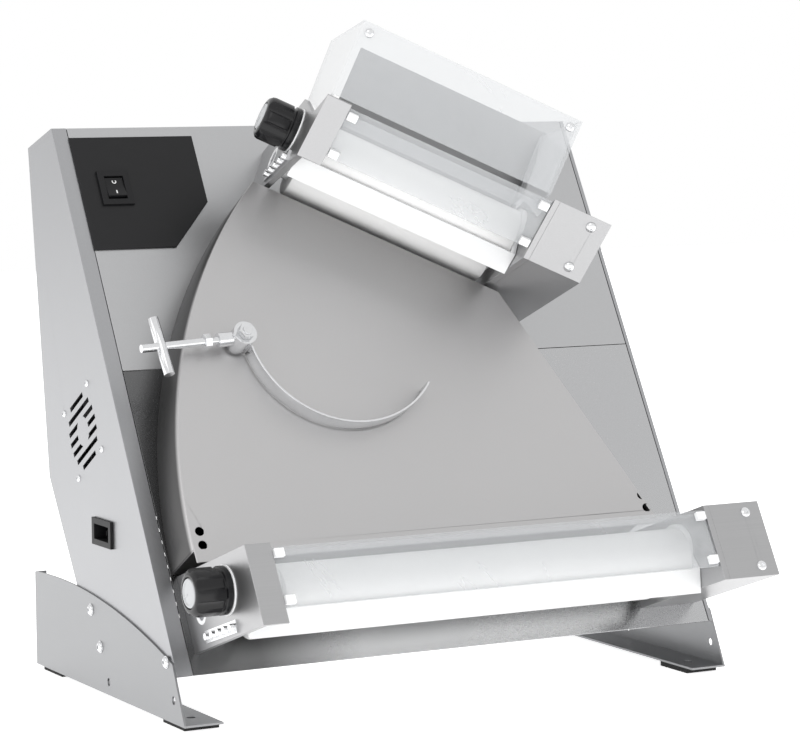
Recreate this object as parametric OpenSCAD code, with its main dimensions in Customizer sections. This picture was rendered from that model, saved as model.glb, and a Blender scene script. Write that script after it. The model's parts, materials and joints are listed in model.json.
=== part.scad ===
// Bench dough sheeter: two inclined pairs of rollers over a sloping panel, with a chute and a
// counterweighted turning arm between them. The origin is on the bench, at the centre of the
// four bench bolts. +X is to the operator's right, +Y to the back, +Z up.

/* [Body] */
// Width across the side panels
body_w = 600; // [580:10:680]
// Length of the front panel, up its slope
panel_len = 590; // [580:5:640]
// Lean of the front panel back from the vertical, in degrees
panel_lean = 30; // [28:1:33]
// Height of the front panel's bottom edge over the bench
panel_lift = 50; // [46:1:60]
// Depth of the body at its top
top_depth = 67; // [60:1:90]
// Depth of the body at its knee
knee_depth = 198; // [190:1:215]
// Height of the knee, up the slope
knee_up = 294; // [280:2:310]
// Thickness of the sheet metal
sheet_t = 1.5; // [1.2:0.1:2]
// Width of the left side panel's front lip
lip_left = 16; // [12:1:20]
// Width of the right side panel's front lip
lip_right = 4; // [3:0.5:6]
// Height of the seam between the two front panels, up the slope
seam_up = 318; // [300:1:330]

/* [Feet] */
// Length of a foot along the bench
foot_len = 380; // [360:5:400]
// Height of a foot at its back
foot_h = 102; // [95:1:110]
// Width of a foot's bottom flange
foot_flange = 40; // [34:1:50]
// Thickness of a foot plate
foot_t = 2; // [1.5:0.5:3]
// Height of a rubber pad
pad_h = 5; // [4:0.5:8]
// Distance between the bench bolts, front to back
bench_bolt_y = 310; // [280:5:320]
// Diameter of the bench bolt holes
bench_bolt_d = 8.5; // [6.5:0.5:10.5]

/* [Rollers] */
// Diameter of the white rollers
roller_d = 60; // [56:1:62]
// Gap between a pair of rollers, with the knob at rest
roller_gap = 2.8; // [2.4:0.1:4]
// Length of the lower rollers
lower_roller_len = 444; // [400:2:450]
// Length of the upper rollers
upper_roller_len = 223; // [200:1:230]
// Diameter of a roller shaft
shaft_d = 16; // [14:1:18]
// Turn of the upper rollers in the panel's plane, in degrees
upper_turn = 29; // [26:1:31]
// Distance of the gap knob's axis from the front roller's axis
knob_throw = 10; // [8:0.5:11]
// Diameter of the round discs that carry the front rollers
disc_d = 48; // [44:1:49]

/* [Drive] */
// Width of a gear case, along its rollers
case_w = 64; // [60:1:70]
// Thickness of a cheek plate
cheek_t = 6; // [5:0.5:7]
// Number of teeth on a roller gear
gear_teeth = 15; // [13:1:17]
// Diameter of a gear motor
motor_d = 76; // [66:1:80]
// Length of a gear motor's round body
motor_len = 120; // [100:5:130]

/* [Chute] */
// Height of the chute's face over the front panel
chute_h = 60; // [56:0.5:61]
// Radius of the chute's curved left edge
chute_r = 543; // [520:1:560]

/* [Turning arm] */
// Radius of the curved blade
blade_r = 102; // [90:1:104]
// Height of the blade over its own lower edge
blade_h = 18; // [14:1:22]
// Length of the counterweight
weight_len = 60; // [50:1:70]

/* [Guards] */
// Thickness of the clear guards
guard_t = 3; // [2.5:0.5:4]
// Height of the hopper guard over its fold
hopper_h = 78; // [70:1:90]

/* [Hidden] */
$fn = 96;

// Colours
steel = [0.72, 0.73, 0.75];
dark_steel = [0.5, 0.51, 0.53];
white = [0.95, 0.95, 0.95];
black = [0.06, 0.06, 0.07];
clear = [0.9, 0.94, 0.96, 0.4];

// Clearances
seat_gap = 0.3;     // between pieces that are screwed together over a curve
run_fit = 0.05;     // radial, between a shaft or disc and its bore
side_play = 0.5;    // between a turning piece and the plate beside it
panel_gap = 0.8;    // open seams between the front panels and the lips beside them
eps = 0.01;
long = 60;          // reach of a cutting tool past its piece

// The front panel's plane: X across, S up the slope, N out towards the operator
foot_front = -20;
foot_mid = foot_front + foot_len / 2;
side_x = body_w / 2;

module on_panel() translate([0, -foot_mid, panel_lift]) rotate([90 - panel_lean, 0, 0]) children();

// Extrudes an outline drawn in (S, N) along X, from x to x + w
module along_x(x, w) translate([x, 0, 0]) rotate([90, 0, 90]) linear_extrude(w) children();

// A cylinder along X, round (s, n)
module bar_x(x, w, s, n, d) translate([x, s, n]) rotate([0, 90, 0]) cylinder(h = w, d = d);

// Moves each edge of a closed counter-clockwise outline inwards by t
function edge_dir(p, q) = (q - p) / norm(q - p);
function inset_corner(p, q, r, t) =
    let (u = edge_dir(p, q), v = edge_dir(q, r), c = u[0] * v[1] - u[1] * v[0])
    q + t * (v - u) / c;
function inset(pts, t) =
    let (k = len(pts))
    [for (i = [0 : k - 1]) inset_corner(pts[(i + k - 1) % k], pts[i], pts[(i + 1) % k], t)];

// ---------------------------------------------------------------- body

// Corners of the body's side, in (S, N), counter-clockwise seen from the left
back_rise = 15;
bottom_back = [93, -183];
body_side = [
    [0, 0], bottom_back, [knee_up, -knee_depth], [panel_len + back_rise, -top_depth], [panel_len, 0]
];

fan_at = [295, -89];
fan_size = 80;
fan_hole_pitch = 71.5;
fan_hub_d = 30;
fan_duct_d = 74;
grille_slots = 7;
grille_slot_w = 5;
grille_fill = 0.92;
inlet_at = [187, -94];
inlet_size = [45, 24];
m4_d = 4.3;

// The four corners of the fan's screw pattern, in (S, N)
fan_corners = [for (s = [-1, 1], n = [-1, 1]) fan_at + [s, n] * fan_hole_pitch / 2];

module fan_openings() {
    pitch = (fan_duct_d - grille_slot_w) / (grille_slots - 1);
    translate(fan_at) difference() {
        rotate(90) for (i = [0 : grille_slots - 1]) {
            offset_n = (i - (grille_slots - 1) / 2) * pitch * grille_fill;
            half = sqrt(pow(fan_duct_d / 2, 2) - pow(offset_n, 2));
            translate([-half, offset_n - grille_slot_w / 2]) square([2 * half, grille_slot_w]);
        }
        circle(d = fan_hub_d);
    }
    for (c = fan_corners) translate(c) circle(d = m4_d);
}

// The inlet's cut-out stands level with the bench
module inlet_outline(grow = 0)
    translate(inlet_at) rotate(panel_lean - 90)
        square([inlet_size[0] + 2 * grow, inlet_size[1] + 2 * grow], center = true);

foot_screw_at = [[207, 84], [184, 50], [21, 61]];
m6_d = 6;

// Turns a point given over the bench, from the panel's bottom edge, into (S, N)
function to_panel(p) = let (h = p[1] - panel_lift)
    [p[0] * sin(panel_lean) + h * cos(panel_lean), -p[0] * cos(panel_lean) + h * sin(panel_lean)];

module side_panel(side) {
    lip = side < 0 ? lip_left : lip_right;
    wall_x = side < 0 ? -side_x : side_x - sheet_t;
    lip_x = side < 0 ? -side_x : side_x - lip;
    color(steel) on_panel() {
        difference() {
            along_x(wall_x, sheet_t) polygon(body_side);
            for (p = foot_screw_at) bar_x(wall_x - 1, sheet_t + 2, to_panel(p)[0], to_panel(p)[1], m6_d);
            if (side < 0) along_x(wall_x - 1, sheet_t + 2) {
                fan_openings();
                inlet_outline();
            }
        }
        translate([lip_x, 0, -sheet_t]) cube([lip, panel_len, sheet_t]);
    }
}

module left_side_panel() side_panel(-1);
module right_side_panel() side_panel(1);

// The front panels lie between the two lips
front_x0 = -side_x + lip_left + panel_gap;
front_w = body_w - lip_left - lip_right - 2 * panel_gap;

module front_panel_upper() color(steel) on_panel() difference() {
    translate([front_x0, seam_up, -sheet_t]) cube([front_w, panel_len - seam_up, sheet_t]);
    in_upper() chain_slot(UPPER);
    switch_hole();
}

module front_panel_lower() color(steel) on_panel() difference() {
    translate([front_x0, 0, -sheet_t]) cube([front_w, seam_up - panel_gap, sheet_t]);
    chain_slot(LOWER);
}

vent_rows = 9;
vent_pitch = 14;
vent_len = 150;
vent_w = 4;
vent_x = 130;
vent_from = 30;     // first slot, up from the back's lower bend

module rear_shell() color(steel) on_panel() difference() {
    along_x(-side_x + sheet_t, body_w - 2 * sheet_t) difference() {
        polygon(body_side);
        polygon(inset(body_side, sheet_t));
        translate([-1, -sheet_t]) square([panel_len + 2, 2 * sheet_t]);
    }
    // Cooling slots low in the back
    for (i = [0 : vent_rows - 1], x = [-1, 1])
        translate([x * vent_x - vent_len / 2, bottom_back[0] + vent_from + i * vent_pitch, -knee_depth - long / 4])
            cube([vent_len, vent_w, long / 2]);
}

// ---------------------------------------------------------------- feet

foot_slant = 27;
foot_hollow = 16;   // how far the top edge dips under its chord
foot_front_rise = 11;
spare_holes = [[164, 18], [5, 27]];
spare_hole_d = 8;
foot_back_lip = 12;

module foot_outline() {
    slant = foot_slant;
    sagitta = foot_hollow;
    front_h = panel_lift + foot_front_rise;
    chord = [foot_len - slant, foot_h - front_h];
    run = norm(chord);
    arc_r = (run * run / 4 + sagitta * sagitta) / (2 * sagitta);
    mid = [foot_front + slant, front_h] + chord / 2;
    down = [chord[1], -chord[0]] / run;
    intersection() {
        polygon([
            [foot_front, pad_h], [foot_front + foot_len, pad_h], [foot_front + foot_len, foot_h],
            [foot_front + foot_len, foot_h + sagitta], [foot_front + slant, front_h + sagitta],
            [foot_front + slant, front_h]
        ]);
        translate(mid + down * (arc_r - sagitta)) circle(r = arc_r, $fn = 360);
    }
}

bench_bolt_x = body_w - foot_flange;

module bench_holes(z, h)
    for (x = [-1, 1], y = [-1, 1])
        translate([x * bench_bolt_x / 2, y * bench_bolt_y / 2, z]) cylinder(h = h, d = bench_bolt_d);

module foot(side) {
    plate_x = side < 0 ? -side_x - foot_t : side_x;
    flange_x = side < 0 ? -side_x - foot_t : side_x + foot_t - foot_flange;
    back_lip = foot_back_lip;
    color(steel) difference() {
        union() {
            translate([0, -foot_mid, 0]) along_x(plate_x, foot_t) difference() {
                foot_outline();
                for (p = foot_screw_at) translate(p) circle(d = m6_d);
                for (p = spare_holes) translate(p) circle(d = spare_hole_d);
            }
            translate([flange_x, foot_front - foot_mid, pad_h]) cube([foot_flange, foot_len, foot_t]);
            translate([side < 0 ? plate_x : side_x + foot_t - back_lip, foot_front + foot_len - foot_mid - foot_t,
                pad_h]) cube([back_lip, foot_t, foot_h - pad_h]);
        }
        bench_holes(pad_h - 1, foot_t + 2);
    }
}

module left_foot() foot(-1);
module right_foot() foot(1);

pad_len = 50;
pad_inset = 2;

module rubber_feet() color(black) difference() {
    for (x = [-1, 1], y = [-1, 1])
        translate([x * bench_bolt_x / 2 - foot_flange / 2 + pad_inset, y * bench_bolt_y / 2 - pad_len / 2, 0])
            cube([foot_flange - 2 * pad_inset, pad_len, pad_h]);
    bench_holes(-1, pad_h + 2);
}

// ---------------------------------------------------------------- fasteners

// Shares of the thread's diameter
head_height = 0.55;
head_width = 1.8;
head_dome = 1.3;
thread_play = 0.2;
screw_end = 4;      // length of thread behind the last sheet
fan_screw_d = 4;
fan_screw_grip = 20;
case_screw_grip = 5;

// A button-head screw along -Z, its head's seat at z = 0
module button_screw(d, grip) {
    intersection() {
        cylinder(h = head_height * d, d = head_width * d);
        translate([0, 0, (head_height - head_dome) * d]) sphere(r = head_dome * d);
    }
    translate([0, 0, -grip]) cylinder(h = grip + eps, d = d - thread_play);
}

module screws() color(steel) {
    for (p = foot_screw_at, side = [-1, 1])
        translate([side * (side_x + foot_t), p[0] - foot_mid, p[1]]) rotate([0, side * 90, 0])
            button_screw(m6_d, foot_t + sheet_t + screw_end);
    on_panel() {
        case_screws(LOWER);
        in_upper() case_screws(UPPER);
        for (c = fan_corners) translate([-side_x, c[0], c[1]]) rotate([0, -90, 0])
            button_screw(fan_screw_d, fan_screw_grip);
    }
}

// ---------------------------------------------------------------- electrics

control_corners = [[-284, 578], [-149, 578], [-149, 501], [-195, 451], [-284, 451]];
panel_plate_t = 2;
switch_at = [-247, 519];
switch_body = [28, 32, 24];
switch_bezel = [34, 38, 2.5];
switch_fit = 0.2;
rocker_size = [20, 24];
rocker_tilt = 8;
rocker_play = 0.3;
rocker_end_play = 1;
rocker_pin_d = 4;
rocker_pin_end = 2.8;
rocker_pin_depth = 3;
well_depth = 8;

module switch_hole() translate([switch_at[0], switch_at[1], 0])
    cube([switch_body[0] + switch_fit, switch_body[1] + switch_fit, long], center = true);

module control_panel() color(black) on_panel() difference() {
    linear_extrude(panel_plate_t) polygon(control_corners);
    switch_hole();
}

module switch_housing() color(black) on_panel() translate([switch_at[0], switch_at[1], panel_plate_t]) difference() {
    union() {
        translate([-switch_bezel[0] / 2, -switch_bezel[1] / 2, 0]) cube(switch_bezel);
        translate([-switch_body[0] / 2, -switch_body[1] / 2, -switch_body[2]]) cube(switch_body);
    }
    // The rocker's well
    translate([-rocker_size[0] / 2 - rocker_play, -rocker_size[1] / 2 - rocker_end_play, -well_depth])
        cube([rocker_size[0] + 2 * rocker_play, rocker_size[1] + 2 * rocker_end_play, well_depth + long]);
    bar_x(-rocker_size[0] / 2 - rocker_pin_end - switch_fit, rocker_size[0] + 2 * (rocker_pin_end + switch_fit), 0,
        -rocker_pin_depth, rocker_pin_d + 2 * run_fit);
}

// The rocker turns on its own pin, and rests with its upper end pressed in
module switch_rocker() color(black) on_panel()
    translate([switch_at[0], switch_at[1], panel_plate_t - rocker_pin_depth]) rotate([-rocker_tilt, 0, 0]) {
        half = rocker_size[1] / 2;
        along_x(-rocker_size[0] / 2, rocker_size[0])
            polygon([[1 - half, 6], [2 - half, -1], [0, -3], [half - 2, -1], [half - 1, 6], [0, 4.8]]);
        bar_x(-rocker_size[0] / 2 - rocker_pin_end, rocker_size[0] + 2 * rocker_pin_end, 0, 0, rocker_pin_d);
    }

inlet_flange = 3;
inlet_deep = 30;
inlet_wall = 3;
inlet_rim = 1.5;
inlet_fit = 0.2;
inlet_pins = [[-8, -2], [0, 2.5], [8, -2]];
inlet_pin = [2, 5];
inlet_pin_inset = 6;

module power_inlet() color(black) on_panel() {
    along_x(-side_x - inlet_flange, inlet_flange) difference() {
        inlet_outline(inlet_rim);
        inlet_outline(-inlet_wall - inlet_rim);
    }
    along_x(-side_x, inlet_deep - inlet_wall) difference() {
        inlet_outline(-inlet_fit);
        inlet_outline(-inlet_wall - inlet_rim);
    }
    along_x(-side_x + inlet_deep - inlet_wall, inlet_wall) inlet_outline(-inlet_fit);
    // Three flat pins inside the socket
    for (p = inlet_pins)
        along_x(-side_x + inlet_pin_inset, inlet_deep - inlet_wall - inlet_pin_inset)
            translate(inlet_at) rotate(panel_lean - 90) translate(p) square(inlet_pin, center = true);
}

fan_depth = 25;
fan_spider_t = 3;
fan_spoke_w = 4;
fan_pin_d = 5;
fan_pin_inset = 4;
fan_x0 = -side_x + sheet_t;

module fan_frame() color(black) on_panel() {
    difference() {
        along_x(fan_x0, fan_depth) translate(fan_at) square(fan_size, center = true);
        bar_x(fan_x0 - 1, fan_depth + 2, fan_at[0], fan_at[1], fan_duct_d);
        for (c = fan_corners) bar_x(fan_x0 - 1, fan_depth + 2, c[0], c[1], m4_d);
    }
    // Spider that holds the motor
    difference() {
        union() {
            along_x(fan_x0 + fan_depth - fan_spider_t, fan_spider_t) translate(fan_at) {
                circle(d = fan_hub_d);
                for (a = [45, 135]) rotate(a) square([fan_duct_d + 2, fan_spoke_w], center = true);
            }
            bar_x(fan_x0 + fan_pin_inset, fan_depth - fan_pin_inset, fan_at[0], fan_at[1], fan_pin_d);
        }
        along_x(fan_x0 + fan_depth - fan_spider_t - 1, fan_spider_t + 2) difference() {
            translate(fan_at) square(fan_size * 2, center = true);
            translate(fan_at) square(fan_size - 1, center = true);
        }
    }
}

fan_blades = 7;
fan_rotor_inset = 3;
fan_rotor_len = 16;
blade_pitch = 35;
blade_chord = 18;
blade_thick = 1.6;

module fan_rotor() color(black) on_panel() difference() {
    translate([fan_x0 + fan_rotor_inset, fan_at[0], fan_at[1]]) rotate([0, 90, 0]) {
        cylinder(h = fan_rotor_len, d = fan_hub_d);
        for (i = [0 : fan_blades - 1]) rotate(i * 360 / fan_blades)
            translate([fan_hub_d / 2 - 2, 0, fan_rotor_len / 2]) rotate([blade_pitch, 0, 0])
                translate([0, -blade_chord / 2, -blade_thick / 2])
                    cube([fan_duct_d / 2 - fan_hub_d / 2, blade_chord, blade_thick]);
    }
    bar_x(fan_x0 + fan_pin_inset - 0.1, long, fan_at[0], fan_at[1], fan_pin_d + 2 * run_fit);
}

box_size = [90, 120, 55];
box_at = [-260, 350, -sheet_t - box_size[2]];
box_wall = 2;
gland_d = 16;

module control_box() color(dark_steel) on_panel() translate(box_at) difference() {
    cube(box_size);
    translate([1, 1, 1] * box_wall) cube(box_size - [2, 2, 2] * box_wall);
    // Cable gland hole in the lower end
    translate([box_size[0] / 2, -1, box_size[2] / 2]) rotate([-90, 0, 0]) cylinder(h = box_wall + 2, d = gland_d);
}

// ---------------------------------------------------------------- slide chute

upper_up = 440;     // where the upper unit's own frame starts, up the slope

module in_upper() translate([0, upper_up, 0]) rotate(-upper_turn) children();

// A point given in the upper unit's frame, in the panel's plane
function from_upper(p) = [
    p[0] * cos(upper_turn) + p[1] * sin(upper_turn),
    upper_up - p[0] * sin(upper_turn) + p[1] * cos(upper_turn)
];

chute_low = 102;
chute_lip = 90;
chute_arc_at = [262, 110];
chute_hole_d = 9;
chute_holes = [[-271, 121], [-271, 107], [219, 121], [221, 107]];
chute_top = [-133, 146];    // ends of its top edge, across the upper unit
chute_top_up = -14;
chute_left = -290;          // past the curved edge
chute_right = 232;
chute_side_run = 0.4;
chute_far = [160, 90];      // past the curved edge, over the top corner

module chute_outline(low) {
    top_left = from_upper([chute_top[0], chute_top_up]);
    top_right = from_upper([chute_top[1], chute_top_up]);
    right = chute_right - (low - chute_lip) * chute_side_run;
    intersection() {
        polygon([[chute_left, low], [right, low], top_right, top_left, top_left - chute_far]);
        translate(chute_arc_at) circle(r = chute_r, $fn = 360);
    }
}

// The chute's face; its walls are strips of their own that stand on the front panel
module slide_chute() color(steel) on_panel() difference() {
    translate([0, 0, chute_h - sheet_t]) linear_extrude(sheet_t) chute_outline(chute_lip);
    for (p = chute_holes) translate([p[0], p[1], chute_h - long / 2]) cylinder(h = long, d = chute_hole_d);
    translate([arm_at[0], arm_at[1], chute_h - long / 2]) cylinder(h = long, d = arm_pin_d);
}

module chute_hollow() {
    top_left = from_upper([chute_top[0], chute_top_up - sheet_t]);
    top_right = from_upper([chute_top[1] - 1.2 * sheet_t, chute_top_up - sheet_t]);
    right = chute_right - (chute_low - chute_lip) * chute_side_run - 1.2 * sheet_t;
    intersection() {
        polygon([
            [chute_left, chute_low + sheet_t], [right, chute_low + sheet_t], top_right, top_left, top_left - chute_far
        ]);
        translate(chute_arc_at) circle(r = chute_r - sheet_t, $fn = 360);
    }
}

// The bands that hold the lower and the upper wall, each grown by g towards the hollow
module low_band(g) translate([-body_w, chute_low - long]) square([2 * body_w, long + sheet_t + g]);

module top_band(g) translate([0, upper_up]) rotate(-upper_turn)
    translate([-body_w / 2, chute_top_up - sheet_t - g]) square([body_w, long]);

module chute_walls() difference() {
    chute_outline(chute_low);
    chute_hollow();
}

module chute_side_walls() difference() {
    chute_walls();
    low_band(seat_gap);
    top_band(seat_gap);
}

// The curved wall at the left
module chute_edge() color(steel) on_panel() linear_extrude(chute_h - sheet_t) intersection() {
    chute_side_walls();
    translate([-body_w, 0]) square([body_w, panel_len]);
}

// The straight walls: below, above and at the right
module chute_skirts() color(steel) on_panel() linear_extrude(chute_h - sheet_t) {
    intersection() {
        chute_walls();
        low_band(0);
    }
    intersection() {
        chute_walls();
        top_band(0);
    }
    intersection() {
        chute_side_walls();
        square([body_w, panel_len]);
    }
}

// ---------------------------------------------------------------- roller units

LOWER = 0;
UPPER = 1;

// Outlines of the cheeks, in (S, N) of each unit, counter-clockwise seen from the left
cheek_sides = [
    [[21, 0], [-12, 158], [67, 158], [100, 0]],
    [[4, 0], [-36, 160], [5, 215], [9, 172], [62, 120], [70, 0]]
];
pair_tilt = [12, 14];
rear_axis = [[50, 34], [27, 54]];
cheek_x = [-277, -120];
case_x = [220, 131];
roller_len = [lower_roller_len, upper_roller_len];
motor_axis = [[96, -60], [38, -50]];

function pair_dir(u) = [-sin(pair_tilt[u]), cos(pair_tilt[u])];
function pair_up(u) = [cos(pair_tilt[u]), sin(pair_tilt[u])];
function front_axis(u) = rear_axis[u] + (roller_d + roller_gap) * pair_dir(u);
function knob_axis(u) = front_axis(u) + knob_throw * pair_up(u);
roller_end_gap = 6;
function roller_x(u) = case_x[u] - roller_end_gap - roller_len[u];

bush_flange_d = 30;
bush_d = 24;

module cheek_plate(u, x) difference() {
    along_x(x, cheek_t) polygon(cheek_sides[u]);
    bar_x(x - 1, cheek_t + 2, rear_axis[u][0], rear_axis[u][1], bush_d);
    bar_x(x - 1, cheek_t + 2, knob_axis(u)[0], knob_axis(u)[1], disc_d + 2 * run_fit);
}

cheek_flange_w = 26;
cheek_flange_t = 2;

// The left cheek, with its bent front flange
module cheek(u) {
    side = cheek_sides[u];
    inward = cheek_flange_t * flange_in(u);
    flange = [side[1], side[2], side[2] - inward, side[1] - inward];
    color(steel) {
        cheek_plate(u, cheek_x[u]);
        along_x(cheek_x[u], cheek_flange_w) polygon(flange);
    }
}

// Unit normal of the unit's front face, pointing out
function flange_in(u) =
    let (d = edge_dir(cheek_sides[u][1], cheek_sides[u][2])) [-d[1], d[0]];

module drive_cheek(u) color(steel) cheek_plate(u, case_x[u]);

// The cover of the gear case: closed in front, over, under and at its end, open at the panel
module gear_case(u) {
    t = sheet_t;
    x = case_x[u] + cheek_t;
    w = case_w - cheek_t;
    side = cheek_sides[u];
    color(steel) difference() {
        along_x(x, w) polygon(side);
        along_x(x - 1, w - t + 1) intersection() {
            polygon(inset_left(side, t));
            translate([-body_w / 2, -1]) square(body_w);
        }
        for (p = case_screw_at(u)) case_screw_place(u, p)
            translate([0, 0, -case_screw_grip]) cylinder(h = 2 * case_screw_grip, d = m6_d);
    }
}

// The outline inset by t, but left full length past the panel side at N = 0
function inset_left(side, t) =
    let (
        k = len(side),
        first = side[0] - long * edge_dir(side[0], side[1]),
        last = side[k - 1] + long * edge_dir(side[k - 2], side[k - 1]),
        open_side = concat([first], [for (i = [1 : k - 2]) side[i]], [last])
    )
    inset(reverse_list(open_side), t);

function reverse_list(v) = [for (i = [len(v) - 1 : -1 : 0]) v[i]];

case_screw_inset = 11;
case_screw_from_end = 18;
function case_screw_at(u) =
    let (p = cheek_sides[u][1], q = cheek_sides[u][2], d = edge_dir(p, q))
    [p + case_screw_inset * d, q - case_screw_inset * d];

module case_screw_place(u, p) {
    d = edge_dir(cheek_sides[u][1], cheek_sides[u][2]);
    translate([case_x[u] + case_w - case_screw_from_end, p[0], p[1]]) rotate([atan2(d[1], d[0]), 0, 0]) children();
}

module case_screws(u)
    for (p = case_screw_at(u)) case_screw_place(u, p) button_screw(m6_d, case_screw_grip);

// ---- rollers, shafts, bushes

module roller(u, at, a_x) color(white) difference() {
    bar_x(a_x, roller_len[u], at[0], at[1], roller_d);
    bar_x(a_x - 1, roller_len[u] + 2, at[0], at[1], shaft_d + 2 * run_fit);
}

gear_x = cheek_t + 3;       // from the drive cheek's inner face
gear_w = 12;
sprocket_x = cheek_t + 22;
sprocket_w = 6;
sprocket_r = 15;
shaft_end = 1;              // how far a shaft runs past its last piece

function gear_pitch_r() = (roller_d + roller_gap) / 2;

module front_shaft(u) color(dark_steel)
    bar_x(cheek_x[u] + shaft_end, case_x[u] + gear_x + gear_w - cheek_x[u], front_axis(u)[0], front_axis(u)[1],
        shaft_d);

module rear_shaft(u) color(dark_steel)
    bar_x(cheek_x[u] + shaft_end, case_x[u] + sprocket_x + sprocket_w - cheek_x[u], rear_axis[u][0],
        rear_axis[u][1], shaft_d);

// Straight-sided teeth, thin enough to stay in mesh over the whole range of the gap
tooth_root = 6;
tooth_tip = 3;
tooth_below = 5;
tooth_above = 2;

module gear_outline(phase) {
    root_r = gear_pitch_r() - tooth_below;
    tip_r = gear_pitch_r() + tooth_above;
    circle(r = root_r);
    for (i = [0 : gear_teeth - 1]) rotate(phase + i * 360 / gear_teeth)
        polygon([
            [root_r - 1, -tooth_root / 2], [tip_r, -tooth_tip / 2], [tip_r, tooth_tip / 2],
            [root_r - 1, tooth_root / 2]
        ]);
}

sprocket_teeth = 12;
sprocket_tooth = [4, 2.2, 1];   // height, half width at its root, half width at its tip

module sprocket_outline() {
    root = sprocket_r - sprocket_tooth[0];
    tip = sprocket_r - 0.2;
    circle(r = root + 1);
    for (i = [0 : sprocket_teeth - 1]) rotate(i * 360 / sprocket_teeth)
        polygon([
            [root, -sprocket_tooth[1]], [tip, -sprocket_tooth[2]], [tip, sprocket_tooth[2]], [root, sprocket_tooth[1]]
        ]);
}

module front_gear(u) color(dark_steel) difference() {
    along_x(case_x[u] + gear_x, gear_w) translate(front_axis(u))
        gear_outline(270 + pair_tilt[u] + 180 / gear_teeth);
    bar_x(case_x[u], long, front_axis(u)[0], front_axis(u)[1], shaft_d + 2 * run_fit);
}

gear_hub_d = 21;

// The rear gear is one piece with the chain sprocket
module rear_gear(u) {
    at = rear_axis[u];
    color(dark_steel) difference() {
        union() {
            along_x(case_x[u] + gear_x, gear_w) translate(at) gear_outline(90 + pair_tilt[u]);
            bar_x(case_x[u] + gear_x, sprocket_x - gear_x + eps, at[0], at[1], gear_hub_d);
            along_x(case_x[u] + sprocket_x, sprocket_w) translate(at) sprocket_outline();
        }
        bar_x(case_x[u], long, at[0], at[1], shaft_d + 2 * run_fit);
    }
}

// Flanged bushes of the rear shaft: a long one at the left, a short one at the drive cheek
module rear_bush(x, seat, w, at) difference() {
    union() {
        bar_x(x, w, at[0], at[1], bush_flange_d);
        bar_x(seat, cheek_t, at[0], at[1], bush_d - 2 * run_fit);
    }
    bar_x(x - cheek_t - 1, w + 2 * cheek_t + 2, at[0], at[1], shaft_d + 2 * run_fit);
}

module unit_bushes(u) {
    left = cheek_x[u] + cheek_t;
    rear_bush(left, cheek_x[u], roller_x(u) - side_play - left, rear_axis[u]);
    right = case_x[u] - roller_end_gap + side_play;
    rear_bush(right, case_x[u], roller_end_gap - side_play, rear_axis[u]);
}

module rear_bearings() color(white) on_panel() {
    unit_bushes(LOWER);
    in_upper() unit_bushes(UPPER);
}

// ---- gap adjustment

// The scraper strip's edges, from the front roller's axis
strip_low = [[-43, 14], [-40, -2]];
strip_high = [[-21, 25], [-27, 18]];
strip_t = 2.5;
yoke_arm_t = 5;
yoke_arm_half = [14, 16];
disc_proud = 1;             // how far a disc stands out of its cheek

module strip_outline(u) {
    p = front_axis(u) + strip_low[u];
    q = front_axis(u) + strip_high[u];
    d = edge_dir(p, q);
    out = [-d[1], d[0]] * strip_t;
    polygon([p, q, q + out, p + out]);
}

// Arm from a disc to the strip
module yoke_arm_outline(u) {
    p = front_axis(u) + strip_low[u];
    q = front_axis(u) + strip_high[u];
    k = knob_axis(u);
    d = edge_dir(p, q);
    out = [-d[1], d[0]] * strip_t;
    polygon([p, k - yoke_arm_half[0] * pair_dir(u), k + yoke_arm_half[1] * pair_dir(u), q + out, p + out]);
}

// Two eccentric discs that carry the front roller, joined by the scraper strip
module gap_yoke(u) {
    k = knob_axis(u);
    left = cheek_x[u] + cheek_t + side_play;
    color(white) difference() {
        union() {
            bar_x(cheek_x[u] - disc_proud, roller_x(u) - side_play - cheek_x[u] + disc_proud, k[0], k[1], disc_d);
            bar_x(case_x[u] - roller_end_gap + side_play, roller_end_gap - side_play + cheek_t + disc_proud, k[0],
                k[1], disc_d);
            along_x(left, yoke_arm_t) yoke_arm_outline(u);
            along_x(case_x[u] - side_play - yoke_arm_t, yoke_arm_t) yoke_arm_outline(u);
            along_x(left, case_x[u] - side_play - left) strip_outline(u);
        }
        bar_x(cheek_x[u] + side_play, case_x[u] - cheek_x[u] + long, front_axis(u)[0], front_axis(u)[1],
            front_bush_d + 2 * bush_float);
    }
}

// Bushes of the front shaft, which float a little in the discs
front_bush_d = 22;
bush_float = 0.5;

module front_bushes(u) {
    at = front_axis(u);
    left = cheek_x[u] + shaft_end;
    right = case_x[u] - roller_end_gap + side_play;
    color(dark_steel) difference() {
        union() {
            bar_x(left, roller_x(u) - side_play - left, at[0], at[1], front_bush_d);
            bar_x(right, roller_end_gap - side_play + cheek_t + disc_proud, at[0], at[1], front_bush_d);
        }
        bar_x(left - 1, right - left + long, at[0], at[1], shaft_d + 2 * run_fit);
    }
}

knob_d = 46;
knob_len = 36;
knob_lobes = 6;
knob_lobe_d = 20;
knob_lobe_out = 6;          // from the knob's edge to a lobe cut's centre
knob_collar = 7;
knob_cap_d = 28;
knob_cap_t = 4;
knob_cap_proud = 1;

module knob(u) {
    k = knob_axis(u);
    x = cheek_x[u] - disc_proud - knob_len;
    lobe_r = knob_d / 2 + knob_lobe_out;
    color(black) difference() {
        bar_x(x, knob_len, k[0], k[1], knob_d);
        for (i = [0 : knob_lobes - 1]) {
            a = i * 360 / knob_lobes;
            bar_x(x - 1, knob_len + 1 - knob_collar, k[0] + cos(a) * lobe_r, k[1] + sin(a) * lobe_r, knob_lobe_d);
        }
        bar_x(x - 1, 1 + knob_cap_t - knob_cap_proud, k[0], k[1], knob_cap_d);
    }
}

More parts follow.
